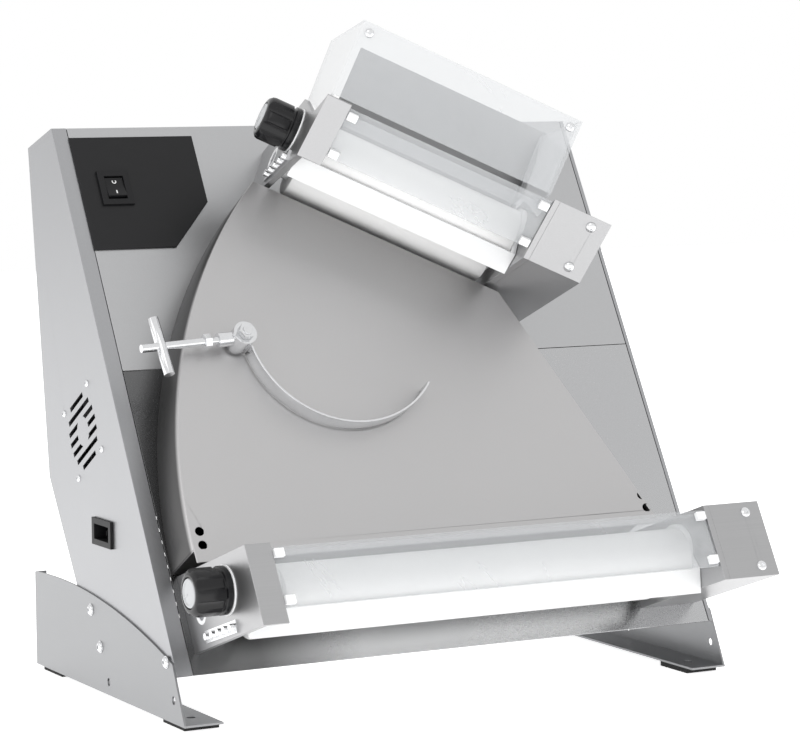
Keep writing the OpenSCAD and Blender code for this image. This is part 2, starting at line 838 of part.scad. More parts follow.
module knob_cap(u) {
    k = knob_axis(u);
    x = cheek_x[u] - disc_proud - knob_len - knob_cap_proud;
    color(dark_steel) bar_x(x, knob_cap_t, k[0], k[1], knob_cap_d - 2 * seat_gap);
}

index_from = [-26, 2];
index_to = [-42, 72];
index_pins = 5;
index_t = 2;
index_half = 6;
index_pin_d = 7;
index_pin_h = 4;

module index_plate(u) {
    p = rear_axis[u] + index_from;
    q = rear_axis[u] + index_to;
    d = edge_dir(p, q);
    half = [-d[1], d[0]] * index_half;
    along_x(cheek_x[u] - index_t, index_t) polygon([p - half, q - half, q + half, p + half]);
    for (i = [0 : index_pins - 1]) {
        c = p + (0.5 + i) / index_pins * (q - p);
        bar_x(cheek_x[u] - index_t - index_pin_h, index_pin_h + eps, c[0], c[1], index_pin_d);
    }
}

module index_plates() color(steel) on_panel() {
    index_plate(LOWER);
    in_upper() index_plate(UPPER);
}

// ---- drive

gearbox_size = 76;
gearbox_len = 50;
output_d = 14;
output_bore_from = 15;
motor_end_gap = 6;          // from the gearbox to its sprocket
chain_t = 3.5;
chain_w = 8;
chain_steps = 24;           // flats round each half turn of a chain
chain_clear = 5;            // round a chain, in its slot

function gearbox_x(u) = case_x[u] + sprocket_x - motor_end_gap - gearbox_len;

module motor(u) {
    at = motor_axis[u];
    x = gearbox_x(u);
    color(dark_steel) difference() {
        union() {
            along_x(x, gearbox_len) translate(at) square(gearbox_size, center = true);
            bar_x(x - motor_len, motor_len + eps, at[0], at[1], motor_d);
        }
        bar_x(x + output_bore_from, gearbox_len, at[0], at[1], output_d + 2 * run_fit);
    }
}

module motor_sprocket(u) {
    at = motor_axis[u];
    x = case_x[u] + sprocket_x;
    start = gearbox_x(u) + output_bore_from + shaft_end;
    color(dark_steel) union() {
        along_x(x, sprocket_w) translate(at) sprocket_outline();
        bar_x(start, x - start + eps, at[0], at[1], output_d);
    }
}

// Outline of a loop that runs at radius r round both sprockets
module chain_path(u, r) {
    p = rear_axis[u];
    q = motor_axis[u];
    a = atan2(q[1] - p[1], q[0] - p[0]);
    steps = chain_steps;
    polygon(concat(
        [for (i = [0 : steps]) p + r * [cos(a + 90 + 180 * i / steps), sin(a + 90 + 180 * i / steps)]],
        [for (i = [0 : steps]) q + r * [cos(a - 90 + 180 * i / steps), sin(a - 90 + 180 * i / steps)]]
    ));
}

module chain(u)
    along_x(case_x[u] + sprocket_x - (chain_w - sprocket_w) / 2, chain_w) difference() {
        chain_path(u, sprocket_r + seat_gap + chain_t);
        chain_path(u, sprocket_r + seat_gap);
    }

module drive_chains() color(black) on_panel() {
    chain(LOWER);
    in_upper() chain(UPPER);
}

// Where the chain passes through the front panel
module chain_slot(u) {
    p = rear_axis[u];
    q = motor_axis[u];
    s = p[0] + (q[0] - p[0]) * p[1] / (p[1] - q[1]);
    half = sprocket_r + chain_t + chain_clear;
    x = case_x[u] + sprocket_x + (sprocket_w - chain_w) / 2 - chain_clear;
    translate([x, s - half, -long / 2]) cube([chain_w + 2 * chain_clear, 2 * half, long]);
}

bracket_t = 3;
bracket_inset = 8;
bracket_x = [4, 30];        // from the gearbox's end, and width

module motor_bracket(u) {
    at = motor_axis[u];
    top = at[1] + gearbox_size / 2;
    t = bracket_t;
    w = gearbox_size - 2 * bracket_inset;
    along_x(gearbox_x(u) + bracket_x[0], bracket_x[1]) difference() {
        translate([at[0] - w / 2, top]) square([w, -sheet_t - top]);
        translate([at[0] - w / 2 + t, top + t]) square([w - 2 * t, -sheet_t - top - 2 * t]);
    }
}

module motor_brackets() color(dark_steel) on_panel() {
    motor_bracket(LOWER);
    in_upper() motor_bracket(UPPER);
}

// ---- guards

// A sheet that follows an open line of points in (S, N), t thick on its left side
module bent_sheet(pts, t) {
    k = len(pts);
    side = [for (i = [0 : k - 1])
        i == 0 ? pts[0] + t * left_of(edge_dir(pts[0], pts[1])) :
        i == k - 1 ? pts[k - 1] + t * left_of(edge_dir(pts[k - 2], pts[k - 1])) :
        inset_corner(pts[i - 1], pts[i], pts[i + 1], t)];
    polygon(concat(pts, reverse_list(side)));
}

function left_of(d) = [-d[1], d[0]];

flange_gap = 2.5;       // from the case's front face to the guard's face
guard_below = 4;        // its fold, under the cheek's corner
guard_low = [16, 10];   // bottom edge of the guard, up from the front corner of the cheek
guard_back = [[83, 84], [11, 176]];

// Front edge of the guard's top fold, behind the corner of the cheek
function guard_line(u) =
    let (p = cheek_sides[u][1], q = cheek_sides[u][2], d = edge_dir(p, q), out = [-d[1], d[0]])
    [p + guard_low[u] * d - flange_gap * out, q - guard_below * d - flange_gap * out];

module roller_guard(u) {
    line = guard_line(u);
    x = cheek_x[u] + cheek_t + seat_gap;
    color(clear) along_x(x, case_x[u] - seat_gap - x)
        bent_sheet([guard_back[u], line[1], line[0]], guard_t);
}

fixing = [10, 8, 5];
fixing_x = [1, 2];      // from the cheek's flange, and from the gear case
fixing_up = [6, 7];     // from the guard's lower edge, and from its fold

module unit_fixings(u) {
    line = guard_line(u);
    d = edge_dir(line[0], line[1]);
    x0 = cheek_x[u] + cheek_flange_w + fixing_x[0];
    x1 = case_x[u] - fixing[0] - fixing_x[1];
    for (x = [x0, x1], p = [line[0] + fixing_up[0] * d, line[1] - fixing_up[1] * d])
        translate([x, p[0], p[1]]) rotate([atan2(d[1], d[0]), 0, 0])
            translate([0, -fixing[1] / 2, seat_gap]) cube(fixing);
}

module guard_fixings() color(white) on_panel() {
    unit_fixings(LOWER);
    in_upper() unit_fixings(UPPER);
}

// Corners of the hopper's sides, in the upper unit's (S, N)
hopper_fold = [7.5, 216];
hopper_rise = [0.824, 0.566];
hopper_back = [126, 143];
hopper_in = [3, 6];         // from the cheek's outer face, and from the gear case's cheek

module hopper_guard() {
    top = hopper_fold + hopper_h * hopper_rise;
    in_t = left_of(hopper_rise) * -guard_t;
    rim = cheek_sides[UPPER];
    side = [
        hopper_fold, top, hopper_back, rim[4] + [1, 1] * seat_gap, guard_back[UPPER] + [2 * seat_gap, 0]
    ];
    x0 = cheek_x[UPPER] + hopper_in[0];
    x1 = case_x[UPPER] - hopper_in[1];
    color(clear) on_panel() in_upper() {
        along_x(x0, x1 - x0) polygon([hopper_fold, top, top + in_t, hopper_fold + in_t]);
        along_x(x0, guard_t) polygon(side);
        along_x(x1 - guard_t, guard_t) polygon(side);
    }
}

plate_low = [48, 82];
plate_top = [138, 138];
plate_left = -84;
plate_cut_up = 12;
plate_tab = [[22, 0], [34, 30], [72, 26], [104, 0]];     // along the plate, and over it
plate_tab_gap = 0.3;        // from the hopper's side

module hopper_plate() {
    d = edge_dir(plate_low, plate_top);
    x0 = cheek_x[UPPER] + cheek_t;
    color(steel) on_panel() in_upper() difference() {
        along_x(x0, case_x[UPPER] - x0) bent_sheet([plate_low, plate_top], sheet_t);
        // Cut back beside the left cheek, over the strip that is screwed to it
        along_x(x0 - 1, plate_left - x0 + 1)
            bent_sheet([plate_low + plate_cut_up * d - left_of(d), plate_top + d - left_of(d)], sheet_t + 2);
    }
    // Folded up at its right end, to carry the hopper's side
    color(steel) on_panel() in_upper() along_x(case_x[UPPER] - hopper_in[1] + plate_tab_gap, sheet_t)
        polygon([for (p = plate_tab) plate_low + p[0] * d + p[1] * left_of(d)]);
}

// ---------------------------------------------------------------- turning arm

arm_at = [-187, 312];
arm_pin_d = 10;
arm_low = 64.3;
arm_hub_h = 23;
arm_hub_d = 24;
rod_d = 8;
rod_len = 107;
rod_angle = 183.4;
weight_d = 10.5;
weight_at = 86;
blade_from = [109, 5];      // the blade's centre, from the pivot
blade_t = 2;
blade_lift = 2;
blade_end = 321;
blade_start_gap = 0.6;      // in degrees, from the hub
pin_collar_d = 18;
pin_nut = [6, 18];          // height and size of the nut under the chute
pin_cap = [6, 17];
pin_over = 8;               // how far the pin stands over the hub
rod_boss = [26, 14];        // length and diameter of the boss round the rod
rod_nut = [34, 7, 15];      // place, length and size of the rod's nut

module arm_frame() on_panel() translate([arm_at[0], arm_at[1], 0]) children();

module arm_pivot() color(dark_steel) arm_frame() {
    low = chute_h - sheet_t - pin_nut[0] - shaft_end;
    translate([0, 0, low]) cylinder(h = arm_low + arm_hub_h + pin_over - low, d = arm_pin_d - 2 * run_fit);
    translate([0, 0, chute_h]) cylinder(h = arm_low - chute_h - seat_gap, d = pin_collar_d);
    translate([0, 0, chute_h - sheet_t - pin_nut[0]]) cylinder(h = pin_nut[0], d = pin_nut[1], $fn = 6);
    translate([0, 0, arm_low + arm_hub_h + seat_gap]) cylinder(h = pin_cap[0], d = pin_cap[1], $fn = 6);
}

module arm_hub() color(steel) arm_frame() difference() {
    union() {
        translate([0, 0, arm_low]) cylinder(h = arm_hub_h, d = arm_hub_d);
        translate([0, 0, arm_low + arm_hub_h / 2]) rotate([0, 0, rod_angle]) rotate([0, 90, 0]) {
            cylinder(h = rod_len, d = rod_d);
            cylinder(h = rod_boss[0], d = rod_boss[1]);
            translate([0, 0, rod_nut[0]]) cylinder(h = rod_nut[1], d = rod_nut[2], $fn = 6);
        }
    }
    translate([0, 0, arm_low - 1]) cylinder(h = arm_hub_h + 2, d = arm_pin_d);
}

module arm_counterweight() color(steel) arm_frame()
    translate([0, 0, arm_low + arm_hub_h / 2]) rotate([0, 0, rod_angle]) translate([weight_at, 0, 0]) difference() {
        rotate([90, 0, 0]) cylinder(h = weight_len, d = weight_d, center = true);
        rotate([0, 90, 0]) cylinder(h = long, d = rod_d + 2 * run_fit, center = true);
    }

module arm_blade() {
    reach = norm(blade_from);
    hub_clear = arm_hub_d / 2 + seat_gap;
    hub_angle = acos((reach * reach + blade_r * blade_r - hub_clear * hub_clear) / (2 * reach * blade_r));
    start = 180 + atan2(blade_from[1], blade_from[0]) + hub_angle + blade_start_gap;
    color(steel) arm_frame() translate([blade_from[0], blade_from[1], chute_h + blade_lift])
        rotate(start) rotate_extrude(angle = blade_end - start, $fn = 180)
            translate([blade_r, 0]) square([blade_t, blade_h]);
}

// ---------------------------------------------------------------- unit nodes

module gear_motors() on_panel() {
    motor(LOWER);
    in_upper() motor(UPPER);
}

module gear_cases() on_panel() {
    gear_case(LOWER);
    in_upper() gear_case(UPPER);
}

module lower_cheek() on_panel() cheek(LOWER);
module lower_drive_cheek() on_panel() drive_cheek(LOWER);
module lower_gap_yoke() on_panel() gap_yoke(LOWER);
module lower_knob() on_panel() knob(LOWER);
module lower_knob_cap() on_panel() knob_cap(LOWER);
module lower_front_bushes() on_panel() front_bushes(LOWER);
module lower_front_roller() on_panel() roller(LOWER, front_axis(LOWER), roller_x(LOWER));
module lower_front_shaft() on_panel() front_shaft(LOWER);
module lower_front_gear() on_panel() front_gear(LOWER);
module lower_rear_roller() on_panel() roller(LOWER, rear_axis[LOWER], roller_x(LOWER));
module lower_rear_shaft() on_panel() rear_shaft(LOWER);
module lower_rear_gear() on_panel() rear_gear(LOWER);
module lower_motor_sprocket() on_panel() motor_sprocket(LOWER);
module lower_guard() on_panel() roller_guard(LOWER);
module upper_cheek() on_panel() in_upper() cheek(UPPER);
module upper_drive_cheek() on_panel() in_upper() drive_cheek(UPPER);
module upper_gap_yoke() on_panel() in_upper() gap_yoke(UPPER);
module upper_knob() on_panel() in_upper() knob(UPPER);
module upper_knob_cap() on_panel() in_upper() knob_cap(UPPER);
module upper_front_bushes() on_panel() in_upper() front_bushes(UPPER);
module upper_front_roller() on_panel() in_upper() roller(UPPER, front_axis(UPPER), roller_x(UPPER));
module upper_front_shaft() on_panel() in_upper() front_shaft(UPPER);
module upper_front_gear() on_panel() in_upper() front_gear(UPPER);
module upper_rear_roller() on_panel() in_upper() roller(UPPER, rear_axis[UPPER], roller_x(UPPER));
module upper_rear_shaft() on_panel() in_upper() rear_shaft(UPPER);
module upper_rear_gear() on_panel() in_upper() rear_gear(UPPER);
module upper_motor_sprocket() on_panel() in_upper() motor_sprocket(UPPER);
module upper_guard() on_panel() in_upper() roller_guard(UPPER);

left_side_panel();
right_side_panel();
front_panel_upper();
front_panel_lower();
rear_shell();
slide_chute();
chute_edge();
chute_skirts();
left_foot();
right_foot();
rubber_feet();
screws();
control_panel();
switch_housing();
switch_rocker();
power_inlet();
fan_frame();
fan_rotor();
control_box();
motor_brackets();
gear_motors();
gear_cases();
drive_chains();
rear_bearings();
guard_fixings();
index_plates();
lower_cheek();
lower_drive_cheek();
lower_gap_yoke();
lower_knob();
lower_knob_cap();
lower_front_bushes();
lower_front_roller();
lower_front_shaft();
lower_front_gear();
lower_rear_roller();
lower_rear_shaft();
lower_rear_gear();
lower_motor_sprocket();
lower_guard();
upper_cheek();
upper_drive_cheek();
upper_gap_yoke();
upper_knob();
upper_knob_cap();
upper_front_bushes();
upper_front_roller();
upper_front_shaft();
upper_front_gear();
upper_rear_roller();
upper_rear_shaft();
upper_rear_gear();
upper_motor_sprocket();
upper_guard();
hopper_guard();
hopper_plate();
arm_pivot();
arm_hub();
arm_blade();
arm_counterweight();
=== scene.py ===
"""Looks of a bench dough sheeter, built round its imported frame.

The CAD nodes keep their shapes and get worked finishes. The rollers, knobs, screws, rubber pads and
the switch's rocker are remade here in finer detail, and the hopper gets two cap bolts. All lengths
are metres.
"""

import json
import logging
import math
from dataclasses import dataclass, field
from enum import Enum
from typing import Any, Iterable, Optional, Sequence, Union

import bpy
from mathutils import Matrix, Vector

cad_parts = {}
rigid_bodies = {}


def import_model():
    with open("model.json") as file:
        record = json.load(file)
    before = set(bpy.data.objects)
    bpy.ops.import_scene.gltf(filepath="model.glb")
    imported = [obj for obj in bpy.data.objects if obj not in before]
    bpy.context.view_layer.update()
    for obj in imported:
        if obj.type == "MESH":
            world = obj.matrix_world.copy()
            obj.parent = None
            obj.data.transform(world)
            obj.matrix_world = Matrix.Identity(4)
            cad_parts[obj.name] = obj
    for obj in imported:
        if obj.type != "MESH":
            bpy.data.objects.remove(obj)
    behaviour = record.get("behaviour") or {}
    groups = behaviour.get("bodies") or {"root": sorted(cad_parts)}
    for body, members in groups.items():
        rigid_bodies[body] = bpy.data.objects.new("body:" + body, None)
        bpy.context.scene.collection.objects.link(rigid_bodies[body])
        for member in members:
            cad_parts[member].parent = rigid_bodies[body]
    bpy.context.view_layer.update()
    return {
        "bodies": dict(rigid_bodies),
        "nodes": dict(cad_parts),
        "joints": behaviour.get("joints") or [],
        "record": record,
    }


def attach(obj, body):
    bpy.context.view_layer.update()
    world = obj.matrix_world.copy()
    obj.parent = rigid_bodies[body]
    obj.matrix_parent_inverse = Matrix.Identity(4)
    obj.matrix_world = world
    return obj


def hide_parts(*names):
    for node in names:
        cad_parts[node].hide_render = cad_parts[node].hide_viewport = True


LOG = logging.getLogger("dough_sheeter")
MM = 0.001
WELD_GAP = 1e-6
HALF_TURN = math.pi
QUARTER_TURN = math.pi / 2


# ------------------------------------------------------------------ places


@dataclass(frozen=True)
class PanelFrame:
    """Axes of the sloping front panel: x across, s up the slope, n out of it."""

    lean: float = 30.0
    front: float = -0.170
    lift: float = 0.050

    def matrix(self) -> Matrix:
        """Returns the panel's frame as a matrix."""
        return Matrix.Translation((0, self.front, self.lift)) @ Matrix.Rotation(
            math.radians(90 - self.lean), 4, "X"
        )


@dataclass(frozen=True)
class UnitFrame:
    """Axes of one roller unit, laid on the panel.

    Its origin lies up the panel's slope and is turned about the panel's normal. The pairs are
    (s, n) places on the unit, and side is the outline of its gear case.
    """

    name: str
    up: float
    turn: float
    rear: tuple[float, float]
    tilt: float
    cheek_x: float
    case_x: float
    case_w: float
    roller_len: float
    side: tuple[tuple[float, float], ...]
    gap: float = 0.0628
    throw: float = 0.010
    roller_clear: float = 0.006

    def matrix(self) -> Matrix:
        """Returns the unit's frame as a matrix."""
        return (
            PanelFrame().matrix()
            @ Matrix.Translation((0, self.up, 0))
            @ Matrix.Rotation(math.radians(-self.turn), 4, "Z")
        )

    def across(self, x: float, s: float, n: float) -> Matrix:
        """A frame on the unit whose z runs along the rollers.

        Args:
            x: place along the rollers.
            s: place up the slope.
            n: place out of the panel.

        Returns:
            The frame as a matrix.
        """
        return self.matrix() @ Matrix.Translation((x, s, n)) @ Matrix.Rotation(QUARTER_TURN, 4, "Y")

    def pair_dir(self) -> tuple[float, float]:
        """Returns the direction from the rear roller to the front one, in (s, n)."""
        a = math.radians(self.tilt)
        return -math.sin(a), math.cos(a)

    def front(self) -> tuple[float, float]:
        """Returns the front roller's axis in (s, n)."""
        d = self.pair_dir()
        return self.rear[0] + self.gap * d[0], self.rear[1] + self.gap * d[1]

    def knob(self) -> tuple[float, float]:
        """Returns the gap knob's axis in (s, n)."""
        a = math.radians(self.tilt)
        f = self.front()
        return f[0] + self.throw * math.cos(a), f[1] + self.throw * math.sin(a)

    def roller_x(self) -> float:
        """Returns where the rollers start."""
        return self.case_x - self.roller_clear - self.roller_len

    def face_turn(self) -> float:
        """Returns the angle of the gear case's front face from the panel."""
        (s0, n0), (s1, n1) = self.side[1], self.side[2]
        return math.atan2(n1 - n0, s1 - s0)


LOWER = UnitFrame(
    "lower", 0.0, 0.0, (0.050, 0.034), 12.0, -0.277, 0.220, 0.064, 0.444,
    ((0.021, 0.0), (-0.012, 0.158), (0.067, 0.158), (0.100, 0.0)),
)
UPPER = UnitFrame(
    "upper", 0.440, 29.0, (0.027, 0.054), 14.0, -0.120, 0.131, 0.064, 0.223,
    ((0.004, 0.0), (-0.036, 0.160), (0.005, 0.215), (0.009, 0.172), (0.062, 0.120), (0.070, 0.0)),
)


# ------------------------------------------------------------------ shader tools

Value = Union["Wire", float, int, Sequence[float]]


class Wire:
    """A shader socket with arithmetic, so that a pattern reads as a sum."""

    def __init__(self, maker: "Nodes", socket: bpy.types.NodeSocket) -> None:
        """Wraps one output socket of the maker's tree."""
        self.maker = maker
        self.socket = socket

    def _math(self, operation: str, first: Value, second: Value) -> "Wire":
        """Returns the result of one Math node."""
        node = self.maker.node("ShaderNodeMath", {"operation": operation}, {0: first, 1: second})
        return Wire(self.maker, node.outputs[0])

    def __add__(self, other: Value) -> "Wire":
        """Returns self + other."""
        return self._math("ADD", self, other)

    def __radd__(self, other: Value) -> "Wire":
        """Returns other + self."""
        return self._math("ADD", other, self)

    def __sub__(self, other: Value) -> "Wire":
        """Returns self - other."""
        return self._math("SUBTRACT", self, other)

    def __rsub__(self, other: Value) -> "Wire":
        """Returns other - self."""
        return self._math("SUBTRACT", other, self)

    def __mul__(self, other: Value) -> "Wire":
        """Returns self * other."""
        return self._math("MULTIPLY", self, other)

    def __rmul__(self, other: Value) -> "Wire":
        """Returns other * self."""
        return self._math("MULTIPLY", other, self)

    def __truediv__(self, other: Value) -> "Wire":
        """Returns self / other."""
        return self._math("DIVIDE", self, other)

    def __rtruediv__(self, other: Value) -> "Wire":
        """Returns other / self."""
        return self._math("DIVIDE", other, self)

    def __pow__(self, other: Value) -> "Wire":
        """Returns self to the power other."""
        return self._math("POWER", self, other)

    def clamp(self) -> "Wire":
        """Returns self held between 0 and 1."""
        node = self.maker.node("ShaderNodeClamp", {}, {"Value": self})
        return Wire(self.maker, node.outputs[0])


class Nodes:
    """Makes the nodes of one material."""

    MIX_FACTOR = 0
    MIX_FIRST = 6
    MIX_SECOND = 7
    MIX_COLOUR = 2

    def __init__(self, name: str) -> None:
        """Starts an empty material of that name."""
        self.material = bpy.data.materials.new(name)
        self.material.use_nodes = True
        self.tree = self.material.node_tree
        self.tree.nodes.clear()

    def node(self, kind: str, settings: dict[str, Any], sockets: dict[Any, Value]) -> bpy.types.Node:
        """Adds one node.

        Args:
            kind: the node's type.
            settings: its properties by name.
            sockets: its inputs by name or number, each a number, a list or a Wire.

        Returns:
            The new node.
        """
        made = self.tree.nodes.new(kind)
        for key, value in settings.items():
            setattr(made, key, value)
        for key, value in sockets.items():
            if isinstance(value, Wire):
                self.tree.links.new(value.socket, made.inputs[key])
            else:
                made.inputs[key].default_value = value
        return made

    def out(self, kind: str, settings: dict[str, Any], sockets: dict[Any, Value], name: Any = 0) -> Wire:
        """Adds one node and returns one of its outputs as a Wire."""
        return Wire(self, self.node(kind, settings, sockets).outputs[name])

    def place(self, turn: Sequence[float], scale: Sequence[float]) -> Wire:
        """Object coordinates, turned by degrees and then scaled.

        Args:
            turn: degrees about X, Y and Z.
            scale: stretch along the turned axes.

        Returns:
            The coordinates.
        """
        at = self.out("ShaderNodeTexCoord", {}, {}, "Object")
        turned = self.out(
            "ShaderNodeMapping", {}, {"Vector": at, "Rotation": [math.radians(a) for a in turn]}
        )
        return self.out("ShaderNodeVectorMath", {"operation": "MULTIPLY"}, {0: turned, 1: list(scale)})

    def noise(self, at: Wire, scale: float, detail: float = 3.0, roughness: float = 0.5) -> Wire:
        """Returns smooth noise between 0 and 1."""
        sockets = {"Vector": at, "Scale": scale, "Detail": detail, "Roughness": roughness}
        return self.out("ShaderNodeTexNoise", {}, sockets)

    def blend(self, factor: Value, dark: Sequence[float], light: Sequence[float]) -> Wire:
        """Returns a colour between dark and light."""
        return self.mix(factor, [*dark, 1.0], [*light, 1.0])

    def mix(self, factor: Value, first: Value, second: Value) -> Wire:
        """Returns a colour between two colours, each a wire or four numbers."""
        sockets = {self.MIX_FACTOR: factor, self.MIX_FIRST: first, self.MIX_SECOND: second}
        return self.out("ShaderNodeMix", {"data_type": "RGBA"}, sockets, self.MIX_COLOUR)

    def bump(self, height: Wire, strength: float, distance: float) -> Wire:
        """Returns a normal bent by height."""
        return self.out(
            "ShaderNodeBump", {}, {"Height": height, "Strength": strength, "Distance": distance}
        )

    def surface(self, sockets: dict[Any, Value]) -> bpy.types.Material:
        """Ends the material in one Principled surface.

        Args:
            sockets: the surface's inputs.

        Returns:
            The finished material.
        """
        shader = self.node("ShaderNodeBsdfPrincipled", {}, sockets)
        self.node("ShaderNodeOutputMaterial", {}, {0: Wire(self, shader.outputs[0])})
        return self.material


# ------------------------------------------------------------------ finishes

NO_TURN = (0.0, 0.0, 0.0)


class Grain(Enum):
    """Which way a sheet was brushed, as turns in degrees that bring the grain onto Z."""

    UP_SLOPE = (-60.0, 0.0, 0.0)
    ACROSS = (0.0, 90.0, 0.0)
    UPRIGHT = (0.0, 0.0, 0.0)
    FRONT_TO_BACK = (90.0, 0.0, 0.0)


def shade(colour: Sequence[float], factor: float) -> list[float]:
    """Returns the colour made lighter or darker."""
    return [min(1.0, c * factor) for c in colour]


@dataclass(frozen=True)
class PaintedShade:
    """Painted shade on steel: dark on one side of a slanting plane and unshaded on the other.

    Height is measured along the direction way: below low the steel carries the painted shade, over high
    it is unshaded. left is the share of its brightness that the shaded side keeps.
    """

    way: tuple[float, float, float]
    low: float
    high: float
    left: float

    def clean(self, n: "Nodes") -> Wire:
        """Returns 0 where the painted shade is full and 1 where the steel is unshaded."""
        at = n.out("ShaderNodeTexCoord", {}, {}, "Object")
        height = n.out(
            "ShaderNodeVectorMath", {"operation": "DOT_PRODUCT"}, {0: at, 1: list(self.way)}, "Value"
        )
        return ((height - self.low) / (self.high - self.low)).clamp()


@dataclass(frozen=True)
class BrushedSteel:
    """Sheet steel with a fine one-way grain and faint handling marks, and on some sheets a painted
    shade.
    """

    name: str
    colour: tuple[float, float, float] = (0.475, 0.478, 0.485)
    grain: Grain = Grain.UP_SLOPE
    rough: float = 0.34
    painted_shade: Optional[PaintedShade] = None
    line_scale: tuple[float, float, float] = (900.0, 900.0, 9.0)
    fine_scale: tuple[float, float, float] = (4200.0, 4200.0, 30.0)
    cloud_scale: tuple[float, float, float] = (6.0, 6.0, 6.0)
    tones: tuple[float, float] = (0.9, 1.1)

    def sheen(self, n: Nodes, tone: Wire, share: float) -> Wire:
        """Returns the steel's grain colour at a share of its brightness; a share below one is painted
        shade.
        """
        dark, light = self.tones
        return n.blend(tone, shade(self.colour, dark * share), shade(self.colour, light * share))

    def make(self) -> bpy.types.Material:
        """Returns the material."""
        n = Nodes(self.name)
        lines = n.noise(n.place(self.grain.value, self.line_scale), 1.0, 2.0, 0.6)
        fine = n.noise(n.place(self.grain.value, self.fine_scale), 1.0, 1.0)
        cloud = n.noise(n.place(NO_TURN, self.cloud_scale), 1.0, 3.0)
        tone = (lines * 0.5 + fine * 0.2 + cloud * 0.3).clamp()
        rough = self.rough - 0.10 + lines * 0.10 + cloud * 0.10
        base = self.sheen(n, tone, 1.0)
        # Painted shade: on its shaded side the sheet takes a darker copy of its own grain colour.
        if self.painted_shade is not None:
            base = n.mix(self.painted_shade.clean(n), self.sheen(n, tone, self.painted_shade.left), base)
        return n.surface(
            {
                "Base Color": base,
                "Metallic": 1.0,
                "Roughness": rough,
                "Normal": n.bump(lines + fine * 0.5, 0.08, 0.0004),
            }
        )


@dataclass(frozen=True)
class Polished:
    """Turned or polished metal with fine rings and light scuffs."""

    name: str
    colour: tuple[float, float, float]
    rough: float = 0.14
    scuff_scale: tuple[float, float, float] = (240.0, 240.0, 240.0)
    ring_scale: tuple[float, float, float] = (2600.0, 60.0, 60.0)

    def make(self) -> bpy.types.Material:
        """Returns the material."""
        n = Nodes(self.name)
        scuff = n.noise(n.place(NO_TURN, self.scuff_scale), 1.0, 4.0, 0.6)
        rings = n.noise(n.place(NO_TURN, self.ring_scale), 1.0, 1.0)
        return n.surface(
            {
                "Base Color": n.blend(scuff, shade(self.colour, 0.92), shade(self.colour, 1.06)),
                "Metallic": 1.0,
                "Roughness": self.rough + scuff * 0.12,
                "Normal": n.bump(rings * 0.6 + scuff * 0.4, 0.06, 0.0003),
            }
        )


@dataclass(frozen=True)
class Moulded:
    """Moulded plastic or rubber with a fine grained skin."""

    name: str
    colour: tuple[float, float, float]
    rough: float = 0.45
    grain: float = 0.12
    spread: float = 0.06
    gloss: float = 0.5
    skin_scale: tuple[float, float, float] = (1500.0, 1500.0, 1500.0)
    cloud_scale: tuple[float, float, float] = (30.0, 30.0, 30.0)

    def make(self) -> bpy.types.Material:
        """Returns the material."""
        n = Nodes(self.name)
        skin = n.noise(n.place(NO_TURN, self.skin_scale), 1.0, 3.0, 0.6)
        cloud = n.noise(n.place(NO_TURN, self.cloud_scale), 1.0, 3.0)
        return n.surface(
            {
                "Base Color": n.blend(
                    cloud, shade(self.colour, 1 - self.spread), shade(self.colour, 1 + self.spread)
                ),
                "Roughness": self.rough - 0.06 + cloud * 0.12,
                "Specular IOR Level": self.gloss,
                "Normal": n.bump(skin, self.grain, 0.0003),
            }
        )


@dataclass(frozen=True)
class PowderCoat:
    """Baked powder paint with a slight orange peel."""

    name: str
    colour: tuple[float, float, float]
    rough: float = 0.32
    gloss: float = 0.5
    peel_scale: tuple[float, float, float] = (420.0, 420.0, 420.0)
    dust_scale: tuple[float, float, float] = (60.0, 60.0, 60.0)

    def make(self) -> bpy.types.Material:
        """Returns the material."""
        n = Nodes(self.name)
        peel = n.noise(n.place(NO_TURN, self.peel_scale), 1.0, 2.0)
        dust = n.noise(n.place(NO_TURN, self.dust_scale), 1.0, 5.0, 0.7)
        return n.surface(
            {
                "Base Color": n.blend(dust, shade(self.colour, 0.85), shade(self.colour, 1.15)),
                "Roughness": self.rough + dust * 0.10,
                "Specular IOR Level": self.gloss,
                "Normal": n.bump(peel, 0.10, 0.0004),
            }
        )


@dataclass(frozen=True)
class ClearSheet:
    """Clear polycarbonate with faint wipe marks and flour haze."""

    name: str
    tint: tuple[float, float, float] = (0.66, 0.675, 0.69)
    cover: float = 0.34
    wipe_turn: tuple[float, float, float] = (20.0, 30.0, 0.0)
    wipe_scale: tuple[float, float, float] = (18.0, 18.0, 3.0)
    haze_scale: tuple[float, float, float] = (90.0, 90.0, 90.0)

    def make(self) -> bpy.types.Material:
        """Returns the material."""
        n = Nodes(self.name)
        wipe = n.noise(n.place(self.wipe_turn, self.wipe_scale), 1.0, 5.0, 0.65)
        haze = n.noise(n.place(NO_TURN, self.haze_scale), 1.0, 3.0)
        return n.surface(
            {
                "Base Color": n.blend(haze, shade(self.tint, 0.97), self.tint),
                "Roughness": 0.05 + wipe * 0.08,
                "Alpha": self.cover - 0.04 + wipe * 0.08,
                "Normal": n.bump(wipe, 0.02, 0.0005),
            }
        )


